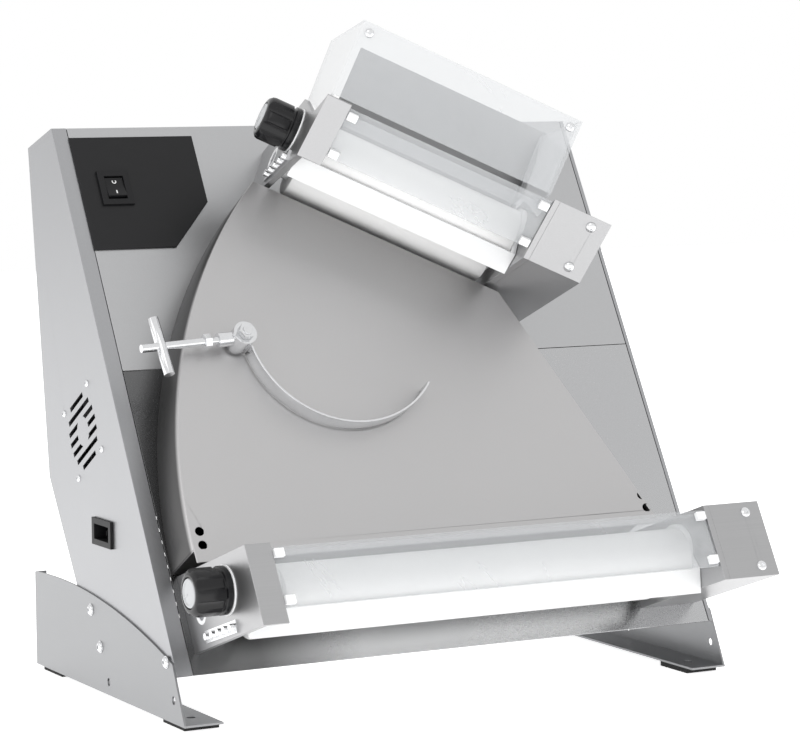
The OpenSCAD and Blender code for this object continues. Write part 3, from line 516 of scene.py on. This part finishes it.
@dataclass(frozen=True)
class FoodPlastic:
    """White food-grade plastic, turned smooth, with faint turning rings."""

    name: str
    colour: tuple[float, float, float] = (0.90, 0.90, 0.895)
    rough: float = 0.30
    ring_scale: tuple[float, float, float] = (1400.0, 20.0, 20.0)
    flour_scale: tuple[float, float, float] = (45.0, 45.0, 45.0)
    glow_depth: float = 4 * MM

    def make(self) -> bpy.types.Material:
        """Returns the material."""
        n = Nodes(self.name)
        rings = n.noise(n.place(NO_TURN, self.ring_scale), 1.0, 2.0)
        flour = n.noise(n.place(NO_TURN, self.flour_scale), 1.0, 5.0, 0.7)
        return n.surface(
            {
                "Base Color": n.blend(flour, shade(self.colour, 0.97), shade(self.colour, 1.02)),
                "Roughness": self.rough + flour * 0.12,
                "Subsurface Weight": 0.15,
                "Subsurface Radius": [self.glow_depth] * 3,
                "Normal": n.bump(rings, 0.04, 0.0003),
            }
        )


@dataclass(frozen=True)
class FloorPaper:
    """White studio paper with a glow of its own, so that it stays white under the machine."""

    name: str
    colour: tuple[float, float, float] = (0.92, 0.92, 0.92)
    glow: float = 0.75
    fibre_scale: tuple[float, float, float] = (300.0, 300.0, 300.0)

    def make(self) -> bpy.types.Material:
        """Returns the material."""
        n = Nodes(self.name)
        fibre = n.noise(n.place(NO_TURN, self.fibre_scale), 1.0, 3.0)
        return n.surface(
            {
                "Base Color": n.blend(fibre, shade(self.colour, 0.995), shade(self.colour, 1.005)),
                "Roughness": 0.85 + fibre * 0.1,
                "Specular IOR Level": 0.1,
                "Emission Color": [1.0, 1.0, 1.0, 1.0],
                "Emission Strength": self.glow,
            }
        )


Finish = Union[BrushedSteel, Polished, Moulded, PowderCoat, ClearSheet, FoodPlastic, FloorPaper]


class Paintbox:
    """Makes each finish once and hands it out by name."""

    def __init__(self) -> None:
        """Starts with no materials made."""
        self._made: dict[str, bpy.types.Material] = {}

    def get(self, finish: Finish) -> bpy.types.Material:
        """Returns the finish's material, made when it is first asked for."""
        if finish.name not in self._made:
            self._made[finish.name] = finish.make()
        return self._made[finish.name]


PANEL_STEEL = BrushedSteel("panel_steel")
# The side, foot, gear case and hopper plate steels are darker copies of the panel steel: painted shade,
# set part by part.
SHADED_SIDE_STEEL = BrushedSteel("shaded_side_steel", colour=(0.385, 0.388, 0.398), grain=Grain.UPRIGHT, rough=0.38)
SHELL_STEEL = BrushedSteel("shell_steel", grain=Grain.ACROSS, rough=0.38)
PANEL_LEAN = math.radians(PanelFrame.lean)
OUT_OF_PANEL = (0.0, -math.cos(PANEL_LEAN), math.sin(PANEL_LEAN))
PANEL_HEIGHT = PanelFrame.front * OUT_OF_PANEL[1] + PanelFrame.lift * OUT_OF_PANEL[2]
CHUTE_WALL_TOP = (50 * MM, 57.5 * MM)
# The chute steel carries a painted shade: dark from the panel up to the top of the chute walls, unshaded
# above.
CHUTE_STEEL = BrushedSteel(
    "chute_steel",
    colour=(0.52, 0.515, 0.517),
    rough=0.46,
    painted_shade=PaintedShade(OUT_OF_PANEL, PANEL_HEIGHT + CHUTE_WALL_TOP[0], PANEL_HEIGHT + CHUTE_WALL_TOP[1], 0.2),
)
# The lower front panel is painted darker towards its left end: painted shade beside the chute.
APRON_STEEL = BrushedSteel("apron_steel", rough=0.26, painted_shade=PaintedShade((1.0, 0.0, 0.0), -0.21, -0.10, 0.3))
SHADED_FOOT_STEEL = BrushedSteel(
    "shaded_foot_steel", colour=(0.30, 0.303, 0.31), grain=Grain.FRONT_TO_BACK, rough=0.36
)
SHADED_CASE_STEEL = BrushedSteel("shaded_case_steel", colour=(0.42, 0.42, 0.425), grain=Grain.ACROSS, rough=0.34)
SHADED_PLATE_STEEL = BrushedSteel("shaded_plate_steel", colour=(0.27, 0.272, 0.275), rough=0.42)
SCREW_STEEL = Polished("screw_steel", (0.74, 0.745, 0.755))
ARM_STEEL = Polished("arm_steel", (0.70, 0.705, 0.715), 0.10)
DRIVE_STEEL = Polished("drive_steel", (0.35, 0.35, 0.37), 0.30)
BUSH_BRONZE = Polished("bush_bronze", (0.55, 0.40, 0.20), 0.30)
KNOB_BLACK = Moulded("knob_black", (0.007, 0.007, 0.008), rough=0.24, grain=0.08, gloss=0.35)
PLASTIC_BLACK = Moulded("plastic_black", (0.009, 0.009, 0.01), rough=0.45, gloss=0.25)
PAD_RUBBER = Moulded("pad_rubber", (0.015, 0.015, 0.015), rough=0.75, grain=0.3, gloss=0.3)
CAP_GREY = Moulded("cap_grey", (0.48, 0.49, 0.50), rough=0.35)
MARK_WHITE = Moulded("mark_white", (0.8, 0.8, 0.8), rough=0.4)
PANEL_BLACK = PowderCoat("panel_black", (0.008, 0.008, 0.009), gloss=0.3)
BOX_GREY = PowderCoat("box_grey", (0.36, 0.37, 0.39))
MOTOR_PAINT = PowderCoat("motor_paint", (0.10, 0.11, 0.13))
ROLLER_WHITE = FoodPlastic("roller_white")
SCRAPER_WHITE = FoodPlastic("scraper_white", (0.86, 0.865, 0.87), 0.38)
CLEAR = ClearSheet("clear_sheet")

NODE_FINISH: dict[str, Finish] = {
    "left_side_panel": SHADED_SIDE_STEEL,
    "right_side_panel": SHADED_SIDE_STEEL,
    "front_panel_upper": PANEL_STEEL,
    "front_panel_lower": APRON_STEEL,
    "rear_shell": SHELL_STEEL,
    "slide_chute": CHUTE_STEEL,
    "chute_edge": CHUTE_STEEL,
    "chute_skirts": CHUTE_STEEL,
    "left_foot": SHADED_FOOT_STEEL,
    "right_foot": SHADED_FOOT_STEEL,
    "rubber_feet": PAD_RUBBER,
    "screws": SCREW_STEEL,
    "control_panel": PANEL_BLACK,
    "switch_housing": PLASTIC_BLACK,
    "switch_rocker": PLASTIC_BLACK,
    "power_inlet": PLASTIC_BLACK,
    "fan_frame": PLASTIC_BLACK,
    "fan_rotor": PLASTIC_BLACK,
    "control_box": BOX_GREY,
    "motor_brackets": BOX_GREY,
    "gear_motors": MOTOR_PAINT,
    "gear_cases": SHADED_CASE_STEEL,
    "drive_chains": DRIVE_STEEL,
    "rear_bearings": SCRAPER_WHITE,
    "guard_fixings": SCRAPER_WHITE,
    "index_plates": SCREW_STEEL,
    "cheek": SHADED_CASE_STEEL,
    "drive_cheek": SHADED_CASE_STEEL,
    "gap_yoke": SCRAPER_WHITE,
    "knob": KNOB_BLACK,
    "knob_cap": CAP_GREY,
    "front_bushes": BUSH_BRONZE,
    "front_roller": ROLLER_WHITE,
    "rear_roller": ROLLER_WHITE,
    "front_shaft": DRIVE_STEEL,
    "rear_shaft": DRIVE_STEEL,
    "front_gear": DRIVE_STEEL,
    "rear_gear": DRIVE_STEEL,
    "motor_sprocket": DRIVE_STEEL,
    "guard": CLEAR,
    "hopper_guard": CLEAR,
    "hopper_plate": SHADED_PLATE_STEEL,
    "arm_pivot": ARM_STEEL,
    "arm_hub": ARM_STEEL,
    "arm_blade": ARM_STEEL,
    "arm_counterweight": ARM_STEEL,
}


# ------------------------------------------------------------------ workbench


class Bench:
    """The modelling operators, each run on a fresh selection."""

    def __init__(self, paint: Paintbox) -> None:
        """Keeps the paintbox that pieces are dressed from."""
        self.paint = paint

    def pick(self, objects: Iterable[bpy.types.Object]) -> None:
        """Selects just these objects, the last one active."""
        bpy.ops.object.select_all(action="DESELECT")
        for o in objects:
            o.select_set(True)
            bpy.context.view_layer.objects.active = o

    def cylinder(self, name: str, radius: float, depth: float, sides: int = 64) -> bpy.types.Object:
        """A closed cylinder from z = 0 up.

        Args:
            name: the object's name.
            radius: its radius.
            depth: its height.
            sides: how many flats it is drawn with.

        Returns:
            The new object.
        """
        bpy.ops.object.select_all(action="DESELECT")
        bpy.ops.mesh.primitive_cylinder_add(
            vertices=sides, radius=radius, depth=depth, location=(0, 0, depth / 2)
        )
        made = bpy.context.active_object
        made.name = name
        self.settle([made])
        return made

    def block(self, name: str, low: Sequence[float], high: Sequence[float]) -> bpy.types.Object:
        """A closed box between two corners.

        Args:
            name: the object's name.
            low: its lowest corner.
            high: its highest corner.

        Returns:
            The new object.
        """
        bpy.ops.object.select_all(action="DESELECT")
        centre = [(a + b) / 2 for a, b in zip(low, high)]
        bpy.ops.mesh.primitive_cube_add(size=1, location=centre)
        made = bpy.context.active_object
        made.name = name
        made.scale = [b - a for a, b in zip(low, high)]
        self.settle([made])
        return made

    def settle(self, objects: Sequence[bpy.types.Object]) -> None:
        """Moves each object's place into its mesh."""
        self.pick(objects)
        bpy.ops.object.transform_apply(location=True, rotation=True, scale=True)

    def put(self, obj: bpy.types.Object, frame: Matrix) -> bpy.types.Object:
        """Moves obj's mesh into a frame and returns obj."""
        obj.matrix_world = frame @ obj.matrix_world
        self.settle([obj])
        return obj

    def ease(
        self, obj: bpy.types.Object, width: float, segments: int = 3, angle: float = 35.0
    ) -> bpy.types.Object:
        """Rounds obj's sharp edges.

        Args:
            obj: the object.
            width: the rounding's width.
            segments: how many flats it is drawn with.
            angle: the least angle in degrees of an edge that is rounded.

        Returns:
            obj.
        """
        self.pick([obj])
        mod = obj.modifiers.new("ease", "BEVEL")
        mod.width = width
        mod.segments = segments
        mod.limit_method = "ANGLE"
        mod.angle_limit = math.radians(angle)
        bpy.ops.object.modifier_apply(modifier=mod.name)
        return obj

    def cut(self, obj: bpy.types.Object, tools: Sequence[bpy.types.Object]) -> bpy.types.Object:
        """Cuts each tool out of obj, and removes the tools.

        Args:
            obj: the object that is cut.
            tools: closed meshes, used up by the cut.

        Returns:
            obj.
        """
        for tool in tools:
            self.pick([obj])
            mod = obj.modifiers.new("cut", "BOOLEAN")
            mod.operation = "DIFFERENCE"
            mod.solver = "EXACT"
            mod.object = tool
            bpy.ops.object.modifier_apply(modifier=mod.name)
        self.pick(tools)
        bpy.ops.object.delete()
        return obj

    def join(self, objects: Sequence[bpy.types.Object], name: str) -> bpy.types.Object:
        """Joins objects into one of that name and returns it."""
        self.pick(objects)
        bpy.ops.object.join()
        made = bpy.context.active_object
        made.name = name
        made.data.name = name
        return made

    def turn_profile(
        self, name: str, profile: Sequence[tuple[float, float]], sides: int = 64
    ) -> bpy.types.Object:
        """Spins a profile of (radius, height) about z into a closed piece.

        Args:
            name: the object's name.
            profile: points from the axis out and back to the axis.
            sides: how many flats it is drawn with.

        Returns:
            The new object.
        """
        mesh = bpy.data.meshes.new(name)
        edges = [(i, i + 1) for i in range(len(profile) - 1)]
        mesh.from_pydata([(r, 0, z) for r, z in profile], edges, [])
        made = bpy.data.objects.new(name, mesh)
        bpy.context.scene.collection.objects.link(made)
        self.pick([made])
        bpy.ops.object.mode_set(mode="EDIT")
        bpy.ops.mesh.select_all(action="SELECT")
        bpy.ops.mesh.spin(steps=sides, angle=2 * math.pi, center=(0, 0, 0), axis=(0, 0, 1))
        bpy.ops.mesh.select_all(action="SELECT")
        bpy.ops.mesh.remove_doubles(threshold=WELD_GAP)
        bpy.ops.mesh.normals_make_consistent(inside=False)
        bpy.ops.object.mode_set(mode="OBJECT")
        return made

    def finish(
        self,
        obj: bpy.types.Object,
        finish: Finish,
        body: str,
        slot: str,
        replaces: Sequence[str] = (),
        smooth: float = 35.0,
    ) -> bpy.types.Object:
        """Smooths, paints and seats one piece on its body.

        Args:
            obj: the piece.
            finish: what it is made of.
            body: the CAD body that it rides on.
            slot: the record's material slot; not used.
            replaces: CAD nodes that it stands for.
            smooth: edges flatter than this many degrees look round.

        Returns:
            obj.
        """
        self.pick([obj])
        bpy.ops.object.mode_set(mode="EDIT")
        bpy.ops.mesh.select_all(action="SELECT")
        bpy.ops.mesh.normals_make_consistent(inside=False)
        bpy.ops.object.mode_set(mode="OBJECT")
        bpy.ops.object.shade_smooth_by_angle(angle=math.radians(smooth))
        obj.data.materials.clear()
        obj.data.materials.append(self.paint.get(finish))
        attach(obj, body)
        if replaces:
            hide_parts(*replaces)
        LOG.info("made %s on %s", obj.name, body)
        return obj


# ------------------------------------------------------------------ sub-assemblies


@dataclass
class CadFinishes:
    """Dresses the CAD nodes that keep their own shapes."""

    bench: Bench
    ease: float = 0.35 * MM
    segments: int = 2
    sharp: float = 40.0
    plain: tuple[str, ...] = ("drive_chains", "fan_rotor")
    prefixes: tuple[str, ...] = ("lower_", "upper_")

    def finish_of(self, node: str) -> Finish:
        """Returns the finish of a CAD node, by its name without the unit's prefix."""
        for prefix in self.prefixes:
            if node.startswith(prefix):
                return NODE_FINISH[node[len(prefix):]]
        return NODE_FINISH[node]

    def build(self, nodes: dict[str, bpy.types.Object]) -> None:
        """Gives each node its material and an eased edge.

        Args:
            nodes: the CAD nodes by name.
        """
        for name, obj in nodes.items():
            obj.data.materials.clear()
            obj.data.materials.append(self.bench.paint.get(self.finish_of(name)))
            if name not in self.plain:
                weld = obj.modifiers.new("weld", "WELD")
                weld.merge_threshold = WELD_GAP
                ease = obj.modifiers.new("ease", "BEVEL")
                ease.width = self.ease
                ease.segments = self.segments
                ease.limit_method = "ANGLE"
                ease.angle_limit = math.radians(self.sharp)
                ease.harden_normals = True
            LOG.info("dressed %s", name)


@dataclass
class GapKnob:
    """A lobed grip knob with a round cap, on one unit's gap discs."""

    bench: Bench
    unit: UnitFrame
    radius: float = 23 * MM
    length: float = 36 * MM
    lobes: int = 6
    lobe_radius: float = 10 * MM
    waist: float = 6 * MM
    cap_radius: float = 14 * MM
    cap_depth: float = 3 * MM
    neck: float = 2.2 * MM
    lobe_from: float = 8 * MM
    clear: float = 1 * MM

    def frame(self) -> Matrix:
        """Returns the knob's frame, z out to the left, away from the cheek."""
        s, n = self.unit.knob()
        outside = self.unit.across(self.unit.cheek_x - self.clear, s, n)
        return outside @ Matrix.Rotation(HALF_TURN, 4, "X")

    def grip(self) -> bpy.types.Object:
        """Returns the lobed grip."""
        r, h, well = self.radius, self.length, self.cap_radius
        foot = [
            (0, 0), (r - 1 * MM, 0), (r, 1 * MM), (r, 6 * MM),
            (r - self.neck, 7 * MM), (r - self.neck, 9 * MM), (r, 10 * MM),
        ]
        crown = [
            (r, h - 6 * MM), (r - 1 * MM, h - 3 * MM), (r - 3.5 * MM, h - 1 * MM), (r - 6 * MM, h),
            (well + 1 * MM, h), (well + 0.6 * MM, h - self.cap_depth), (0, h - self.cap_depth),
        ]
        body = self.bench.turn_profile(f"{self.unit.name}_knob_grip", foot + crown, 96)
        tools = []
        reach = r + self.waist
        for i in range(self.lobes):
            a = 2 * math.pi * i / self.lobes
            tool = self.bench.cylinder("lobe_tool", self.lobe_radius, h, 48)
            place = Matrix.Translation((reach * math.cos(a), reach * math.sin(a), self.lobe_from))
            tools.append(self.bench.put(tool, place))
        self.bench.cut(body, tools)
        return self.bench.ease(body, 0.7 * MM, 3, 38)

    def cap(self) -> bpy.types.Object:
        """Returns the round cap with its raised rim and pointer."""
        r, h = self.cap_radius, self.length
        wall = [
            (0, h - self.cap_depth), (r - 0.2 * MM, h - self.cap_depth),
            (r - 0.2 * MM, h - 0.4 * MM), (r - 0.9 * MM, h + 0.4 * MM),
        ]
        face = [
            (r - 2.4 * MM, h + 0.4 * MM), (r - 3 * MM, h - 0.3 * MM),
            (r - 6 * MM, h - 0.1 * MM), (0, h + 0.2 * MM),
        ]
        disc = self.bench.turn_profile(f"{self.unit.name}_knob_disc", wall + face)
        pointer = self.bench.block(
            "pointer", (2 * MM, -0.7 * MM, h - 0.6 * MM), (r - 3.6 * MM, 0.7 * MM, h + 0.5 * MM)
        )
        self.bench.ease(pointer, 0.2 * MM, 2)
        return self.bench.join([pointer, disc], f"{self.unit.name}_knob_disc")

    def build(self) -> None:
        """Makes the grip and its cap."""
        body = f"{self.unit.name}_gap_knob"
        grip = self.bench.put(self.grip(), self.frame())
        self.bench.finish(grip, KNOB_BLACK, body, "knob_plastic", [f"{self.unit.name}_knob"], 40)
        cap = self.bench.put(self.cap(), self.frame())
        self.bench.finish(cap, CAP_GREY, body, "cap_plastic", [f"{self.unit.name}_knob_cap"])


@dataclass
class Rollers:
    """The white rollers of one unit, with rounded rims and dished faces."""

    bench: Bench
    unit: UnitFrame
    radius: float = 30 * MM
    bore: float = 8.05 * MM
    rim: float = 1.2 * MM
    dish: float = 1.5 * MM
    boss: float = 5 * MM

    def roller(self, name: str, at: tuple[float, float]) -> bpy.types.Object:
        """One roller.

        Args:
            name: the piece's name.
            at: its axis in (s, n).

        Returns:
            The roller in its place.
        """
        r, b, h = self.radius, self.bore, self.unit.roller_len
        round_off = 0.35 * self.rim
        end = [
            (b, self.dish), (b + self.boss, self.dish), (b + self.boss + 1 * MM, 0),
            (r - self.rim, 0), (r - round_off, round_off), (r, self.rim),
        ]
        profile = end + [(x, h - z) for x, z in reversed(end)] + [end[0]]
        made = self.bench.turn_profile(name, profile, 96)
        return self.bench.put(made, self.unit.across(self.unit.roller_x(), *at))

    def build(self) -> None:
        """Makes both rollers of the unit."""
        for place, at in (("rear", self.unit.rear), ("front", self.unit.front())):
            node = f"{self.unit.name}_{place}_roller"
            body = f"{self.unit.name}_{place}"
            made = self.roller(f"{node}_turned", at)
            self.bench.finish(made, ROLLER_WHITE, body, "roller_plastic", [node], 30)


@dataclass
class SocketScrews:
    """Button-head screws with hexagon sockets and washers, on the feet, the cases and the fan."""

    bench: Bench
    foot_at: tuple[tuple[float, float], ...] = ((0.207, 0.084), (0.184, 0.050), (0.021, 0.061))
    fan_at: tuple[float, float] = (0.295, -0.089)
    fan_pitch: float = 71.5 * MM
    side_x: float = 0.300
    foot_t: float = 2 * MM
    case_inset: float = 11 * MM
    case_from_end: float = 18 * MM
    twist: float = 0.7
    made: list[bpy.types.Object] = field(default_factory=list)

    def screw(self, size: float, grip: float, washer: bool) -> bpy.types.Object:
        """One screw, its seat at z = 0 and its head up.

        Args:
            size: the thread's diameter.
            grip: how far the shank reaches below the seat.
            washer: whether a washer lies under the head.

        Returns:
            The screw at the origin.
        """
        head, high = 0.9 * size, 0.55 * size
        washer_t, washer_r = 0.12 * size, 1.02 * size
        lift = washer_t if washer else 0.0
        edge = 0.12 * high
        shank = size / 2 - 0.1 * MM
        steps = 7
        turns = [QUARTER_TURN * i / steps for i in range(steps)]
        dome = [(head * math.cos(a), lift + edge + (high - edge - lift) * math.sin(a)) for a in turns]
        dome.append((0.0, high))
        body = self.bench.turn_profile(
            "screw", [(0, -grip), (shank, -grip), (shank, 0), (head, lift), *dome], 40
        )
        socket = self.bench.cylinder("socket_tool", 0.34 * size, high, 6)
        self.bench.put(socket, Matrix.Translation((0, 0, 0.42 * high)))
        self.bench.cut(body, [socket])
        if washer:
            flat = washer_r - 0.2 * MM
            outline = [
                (shank, 0), (flat, 0), (washer_r, 0.25 * washer_t), (washer_r, 0.75 * washer_t),
                (flat, washer_t), (shank, washer_t), (shank, 0),
            ]
            ring = self.bench.turn_profile("washer", outline, 48)
            body = self.bench.join([ring, body], "screw")
        return body

    def seats(self) -> list[tuple[Matrix, float, float, bool]]:
        """Returns each screw's frame, size, grip and whether it has a washer."""
        found: list[tuple[Matrix, float, float, bool]] = []
        for side in (-1, 1):
            for y, z in self.foot_at:
                outside = (side * (self.side_x + self.foot_t), y + PanelFrame.front, z)
                place = Matrix.Translation(outside) @ Matrix.Rotation(side * QUARTER_TURN, 4, "Y")
                found.append((place, 6 * MM, 7 * MM, True))
        for unit in (LOWER, UPPER):
            (s0, n0), (s1, n1) = unit.side[1], unit.side[2]
            a = unit.face_turn()
            x = unit.case_x + unit.case_w - self.case_from_end
            up, out = self.case_inset * math.cos(a), self.case_inset * math.sin(a)
            for s, n in ((s0 + up, n0 + out), (s1 - up, n1 - out)):
                place = unit.matrix() @ Matrix.Translation((x, s, n)) @ Matrix.Rotation(a, 4, "X")
                found.append((place, 6 * MM, 5 * MM, False))
        half = self.fan_pitch / 2
        for s in (self.fan_at[0] - half, self.fan_at[0] + half):
            for n in (self.fan_at[1] - half, self.fan_at[1] + half):
                place = PanelFrame().matrix() @ Matrix.Translation((-self.side_x, s, n))
                found.append((place @ Matrix.Rotation(-QUARTER_TURN, 4, "Y"), 4 * MM, 20 * MM, False))
        return found

    def build(self) -> None:
        """Makes all the screws as one piece."""
        for i, (place, size, grip, washer) in enumerate(self.seats()):
            screw = self.screw(size, grip, washer)
            self.bench.put(screw, place @ Matrix.Rotation(self.twist * i, 4, "Z"))
            self.made.append(screw)
        joined = self.bench.join(self.made, "socket_screws")
        self.bench.finish(joined, SCREW_STEEL, "machine", "screw_steel", ["screws"], 30)


@dataclass
class HopperBolts:
    """The bright cap bolts at the top corners of the hopper's front sheet."""

    screws: SocketScrews
    fold: tuple[float, float] = (7.5 * MM, 216 * MM)
    rise: tuple[float, float] = (0.824, 0.566)
    up: float = 68 * MM
    ends: tuple[float, float] = (-107 * MM, 115 * MM)
    grip: float = 4.5 * MM

    def build(self) -> None:
        """Makes both bolts as one piece."""
        bench = self.screws.bench
        turn = Matrix.Rotation(math.atan2(self.rise[1], self.rise[0]), 4, "X")
        bolts = []
        for x in self.ends:
            place = UPPER.matrix() @ Matrix.Translation(
                (x, self.fold[0] + self.up * self.rise[0], self.fold[1] + self.up * self.rise[1])
            )
            bolts.append(bench.put(self.screws.screw(5 * MM, self.grip, False), place @ turn))
        bench.finish(bench.join(bolts, "hopper_bolts"), SCREW_STEEL, "machine", "screw_steel", (), 30)


@dataclass
class RockerSwitch:
    """The power switch's rocker with its dished face and two raised marks."""

    bench: Bench
    at: tuple[float, float] = (-0.247, 0.519)
    pin_n: float = -1 * MM
    tilt: float = 8.0
    width: float = 20 * MM
    length: float = 24 * MM
    pin_radius: float = 2 * MM
    pin_reach: float = 2.8 * MM
    dish_radius: float = 60 * MM
    dish_floor: float = 4.8 * MM

    def frame(self) -> Matrix:
        """Returns the rocker's frame, turned to its rest."""
        return (
            PanelFrame().matrix()
            @ Matrix.Translation((self.at[0], self.at[1], self.pin_n))
            @ Matrix.Rotation(-math.radians(self.tilt), 4, "X")
        )

    def rocker(self) -> bpy.types.Object:
        """Returns the rocker, its pin along x."""
        w, h = self.width / 2, self.length / 2
        body = self.bench.block("rocker", (-w, -h + 1 * MM, -2 * MM), (w, h - 1 * MM, 6 * MM))
        along = Matrix.Rotation(QUARTER_TURN, 4, "Y")
        start = -1.1 * self.width
        dish = self.bench.cylinder("dish_tool", self.dish_radius, -2 * start, 200)
        self.bench.put(dish, Matrix.Translation((start, 0, self.dish_radius + self.dish_floor)) @ along)
        self.bench.cut(body, [dish])
        self.bench.ease(body, 0.5 * MM, 3)
        pin = self.bench.cylinder("pin", self.pin_radius, self.width + 2 * self.pin_reach, 32)
        self.bench.put(pin, Matrix.Translation((-w - self.pin_reach, 0, 0)) @ along)
        return self.bench.join([pin, body], "rocker_key")

    def marks(self) -> bpy.types.Object:
        """Returns the on and off marks."""
        bar = self.bench.block(
            "bar", (-0.6 * MM, -8.4 * MM, 4.9 * MM), (0.6 * MM, -4.2 * MM, 5.35 * MM)
        )
        inner, outer, high = 1.5 * MM, 2.4 * MM, 0.5 * MM
        ring = self.bench.turn_profile(
            "ring", [(inner, 0), (outer, 0), (outer, high), (inner, high), (inner, 0)], 32
        )
        self.bench.put(ring, Matrix.Translation((0, 6.4 * MM, 4.8 * MM)))
        return self.bench.join([bar, ring], "rocker_marks")

    def build(self) -> None:
        """Makes the rocker and its marks."""
        rocker = self.bench.put(self.rocker(), self.frame())
        self.bench.finish(rocker, PLASTIC_BLACK, "rocker", "black_plastic", ["switch_rocker"])
        marks = self.bench.put(self.marks(), self.frame())
        self.bench.finish(marks, MARK_WHITE, "rocker", "cap_plastic")


@dataclass
class RubberPads:
    """Four ribbed pads under the feet, each round its bench-bolt hole."""

    bench: Bench
    pitch_x: float = 0.560
    pitch_y: float = 0.310
    size: tuple[float, float, float] = (36 * MM, 50 * MM, 5 * MM)
    hole: float = 4.25 * MM
    groove_half: float = 0.8 * MM
    groove_deep: float = 0.9 * MM
    groove_at: tuple[float, ...] = (-18 * MM, -12 * MM, 12 * MM, 18 * MM)

    def pad(self) -> bpy.types.Object:
        """Returns one pad, its hole at the origin."""
        w, d, h = self.size
        body = self.bench.block("pad", (-w / 2, -d / 2, 0), (w / 2, d / 2, h))
        grooves = [
            self.bench.block(
                "groove",
                (-w, y - self.groove_half, -1 * MM),
                (w, y + self.groove_half, self.groove_deep),
            )
            for y in self.groove_at
        ]
        self.bench.cut(body, grooves)
        tool = self.bench.cylinder("hole_tool", self.hole, 3 * h, 48)
        self.bench.put(tool, Matrix.Translation((0, 0, -h)))
        self.bench.cut(body, [tool])
        return self.bench.ease(body, 0.5 * MM, 2)

    def build(self) -> None:
        """Makes the four pads as one piece."""
        pads = []
        for x in (-self.pitch_x / 2, self.pitch_x / 2):
            for y in (-self.pitch_y / 2, self.pitch_y / 2):
                pads.append(self.bench.put(self.pad(), Matrix.Translation((x, y, 0))))
        joined = self.bench.join(pads, "ribbed_pads")
        self.bench.finish(joined, PAD_RUBBER, "machine", "pad_rubber", ["rubber_feet"])


@dataclass(frozen=True)
class Lamp:
    """One soft square lamp: its name, place, side and watts."""

    name: str
    place: tuple[float, float, float]
    size: float
    power: float


@dataclass
class Studio:
    """Pale floor, soft lights and the camera."""

    eye: tuple[float, float, float] = (-1.4282, -2.7599, 0.5930)
    look: tuple[float, float, float] = (0.46486, 0.88052, -0.09272)
    roll: float = -0.547
    lens: float = 137.07
    sensor: float = 36.0
    far: float = 50.0
    floor_size: float = 14.0
    floor_drop: float = 0.4 * MM
    middle: tuple[float, float, float] = (0.0, 0.0, 0.3)
    lamps: tuple[Lamp, ...] = (
        Lamp("key", (-1.8, -2.6, 2.6), 2.2, 14.0),
        Lamp("side", (-3.2, 0.4, 1.6), 1.8, 6.0),
    )

    def camera(self) -> None:
        """Makes the camera and hands it to the scene."""
        data = bpy.data.cameras.new("camera")
        data.lens = self.lens
        data.sensor_width = self.sensor
        data.dof.use_dof = False
        data.clip_end = self.far
        obj = bpy.data.objects.new("camera", data)
        bpy.context.scene.collection.objects.link(obj)
        aim = Vector(self.look).to_track_quat("-Z", "Y").to_matrix().to_4x4()
        obj.matrix_world = (
            Matrix.Translation(self.eye) @ aim @ Matrix.Rotation(math.radians(self.roll), 4, "Z")
        )
        bpy.context.scene.camera = obj

    def light(self, lamp: Lamp) -> None:
        """Hangs one lamp so that it faces the middle of the machine."""
        data = bpy.data.lights.new(lamp.name, "AREA")
        data.size = lamp.size
        data.energy = lamp.power
        obj = bpy.data.objects.new(lamp.name, data)
        bpy.context.scene.collection.objects.link(obj)
        obj.location = lamp.place
        way = Vector(self.middle) - Vector(lamp.place)
        obj.rotation_mode = "QUATERNION"
        obj.rotation_quaternion = way.to_track_quat("-Z", "Y")

    def world(self) -> None:
        """A plain bright surround."""
        world = bpy.data.worlds.new("surround")
        bpy.context.scene.world = world
        world.use_nodes = True
        ground = world.node_tree.nodes["Background"]
        ground.inputs[0].default_value = (1.0, 1.0, 1.0, 1.0)
        ground.inputs[1].default_value = 1.0

    def floor(self, bench: Bench) -> None:
        """The pale floor."""
        bpy.ops.object.select_all(action="DESELECT")
        bpy.ops.mesh.primitive_plane_add(size=self.floor_size, location=(0, 0, -self.floor_drop))
        made = bpy.context.active_object
        made.name = "floor"
        made.data.materials.append(bench.paint.get(FloorPaper("floor_paper")))

    def build(self, bench: Bench) -> None:
        """Sets up the whole studio."""
        self.camera()
        self.world()
        self.floor(bench)
        for lamp in self.lamps:
            self.light(lamp)
        bpy.context.scene.view_settings.view_transform = "Standard"


def main() -> None:
    """Loads the frame and builds every class in order."""
    logging.basicConfig(level=logging.INFO, format="%(name)s: %(message)s")
    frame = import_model()
    bench = Bench(Paintbox())
    Studio().build(bench)
    CadFinishes(bench).build(frame["nodes"])
    for unit in (LOWER, UPPER):
        Rollers(bench, unit).build()
        GapKnob(bench, unit).build()
    screws = SocketScrews(bench)
    screws.build()
    HopperBolts(screws).build()
    RockerSwitch(bench).build()
    RubberPads(bench).build()


if __name__ == "__main__":
    main()
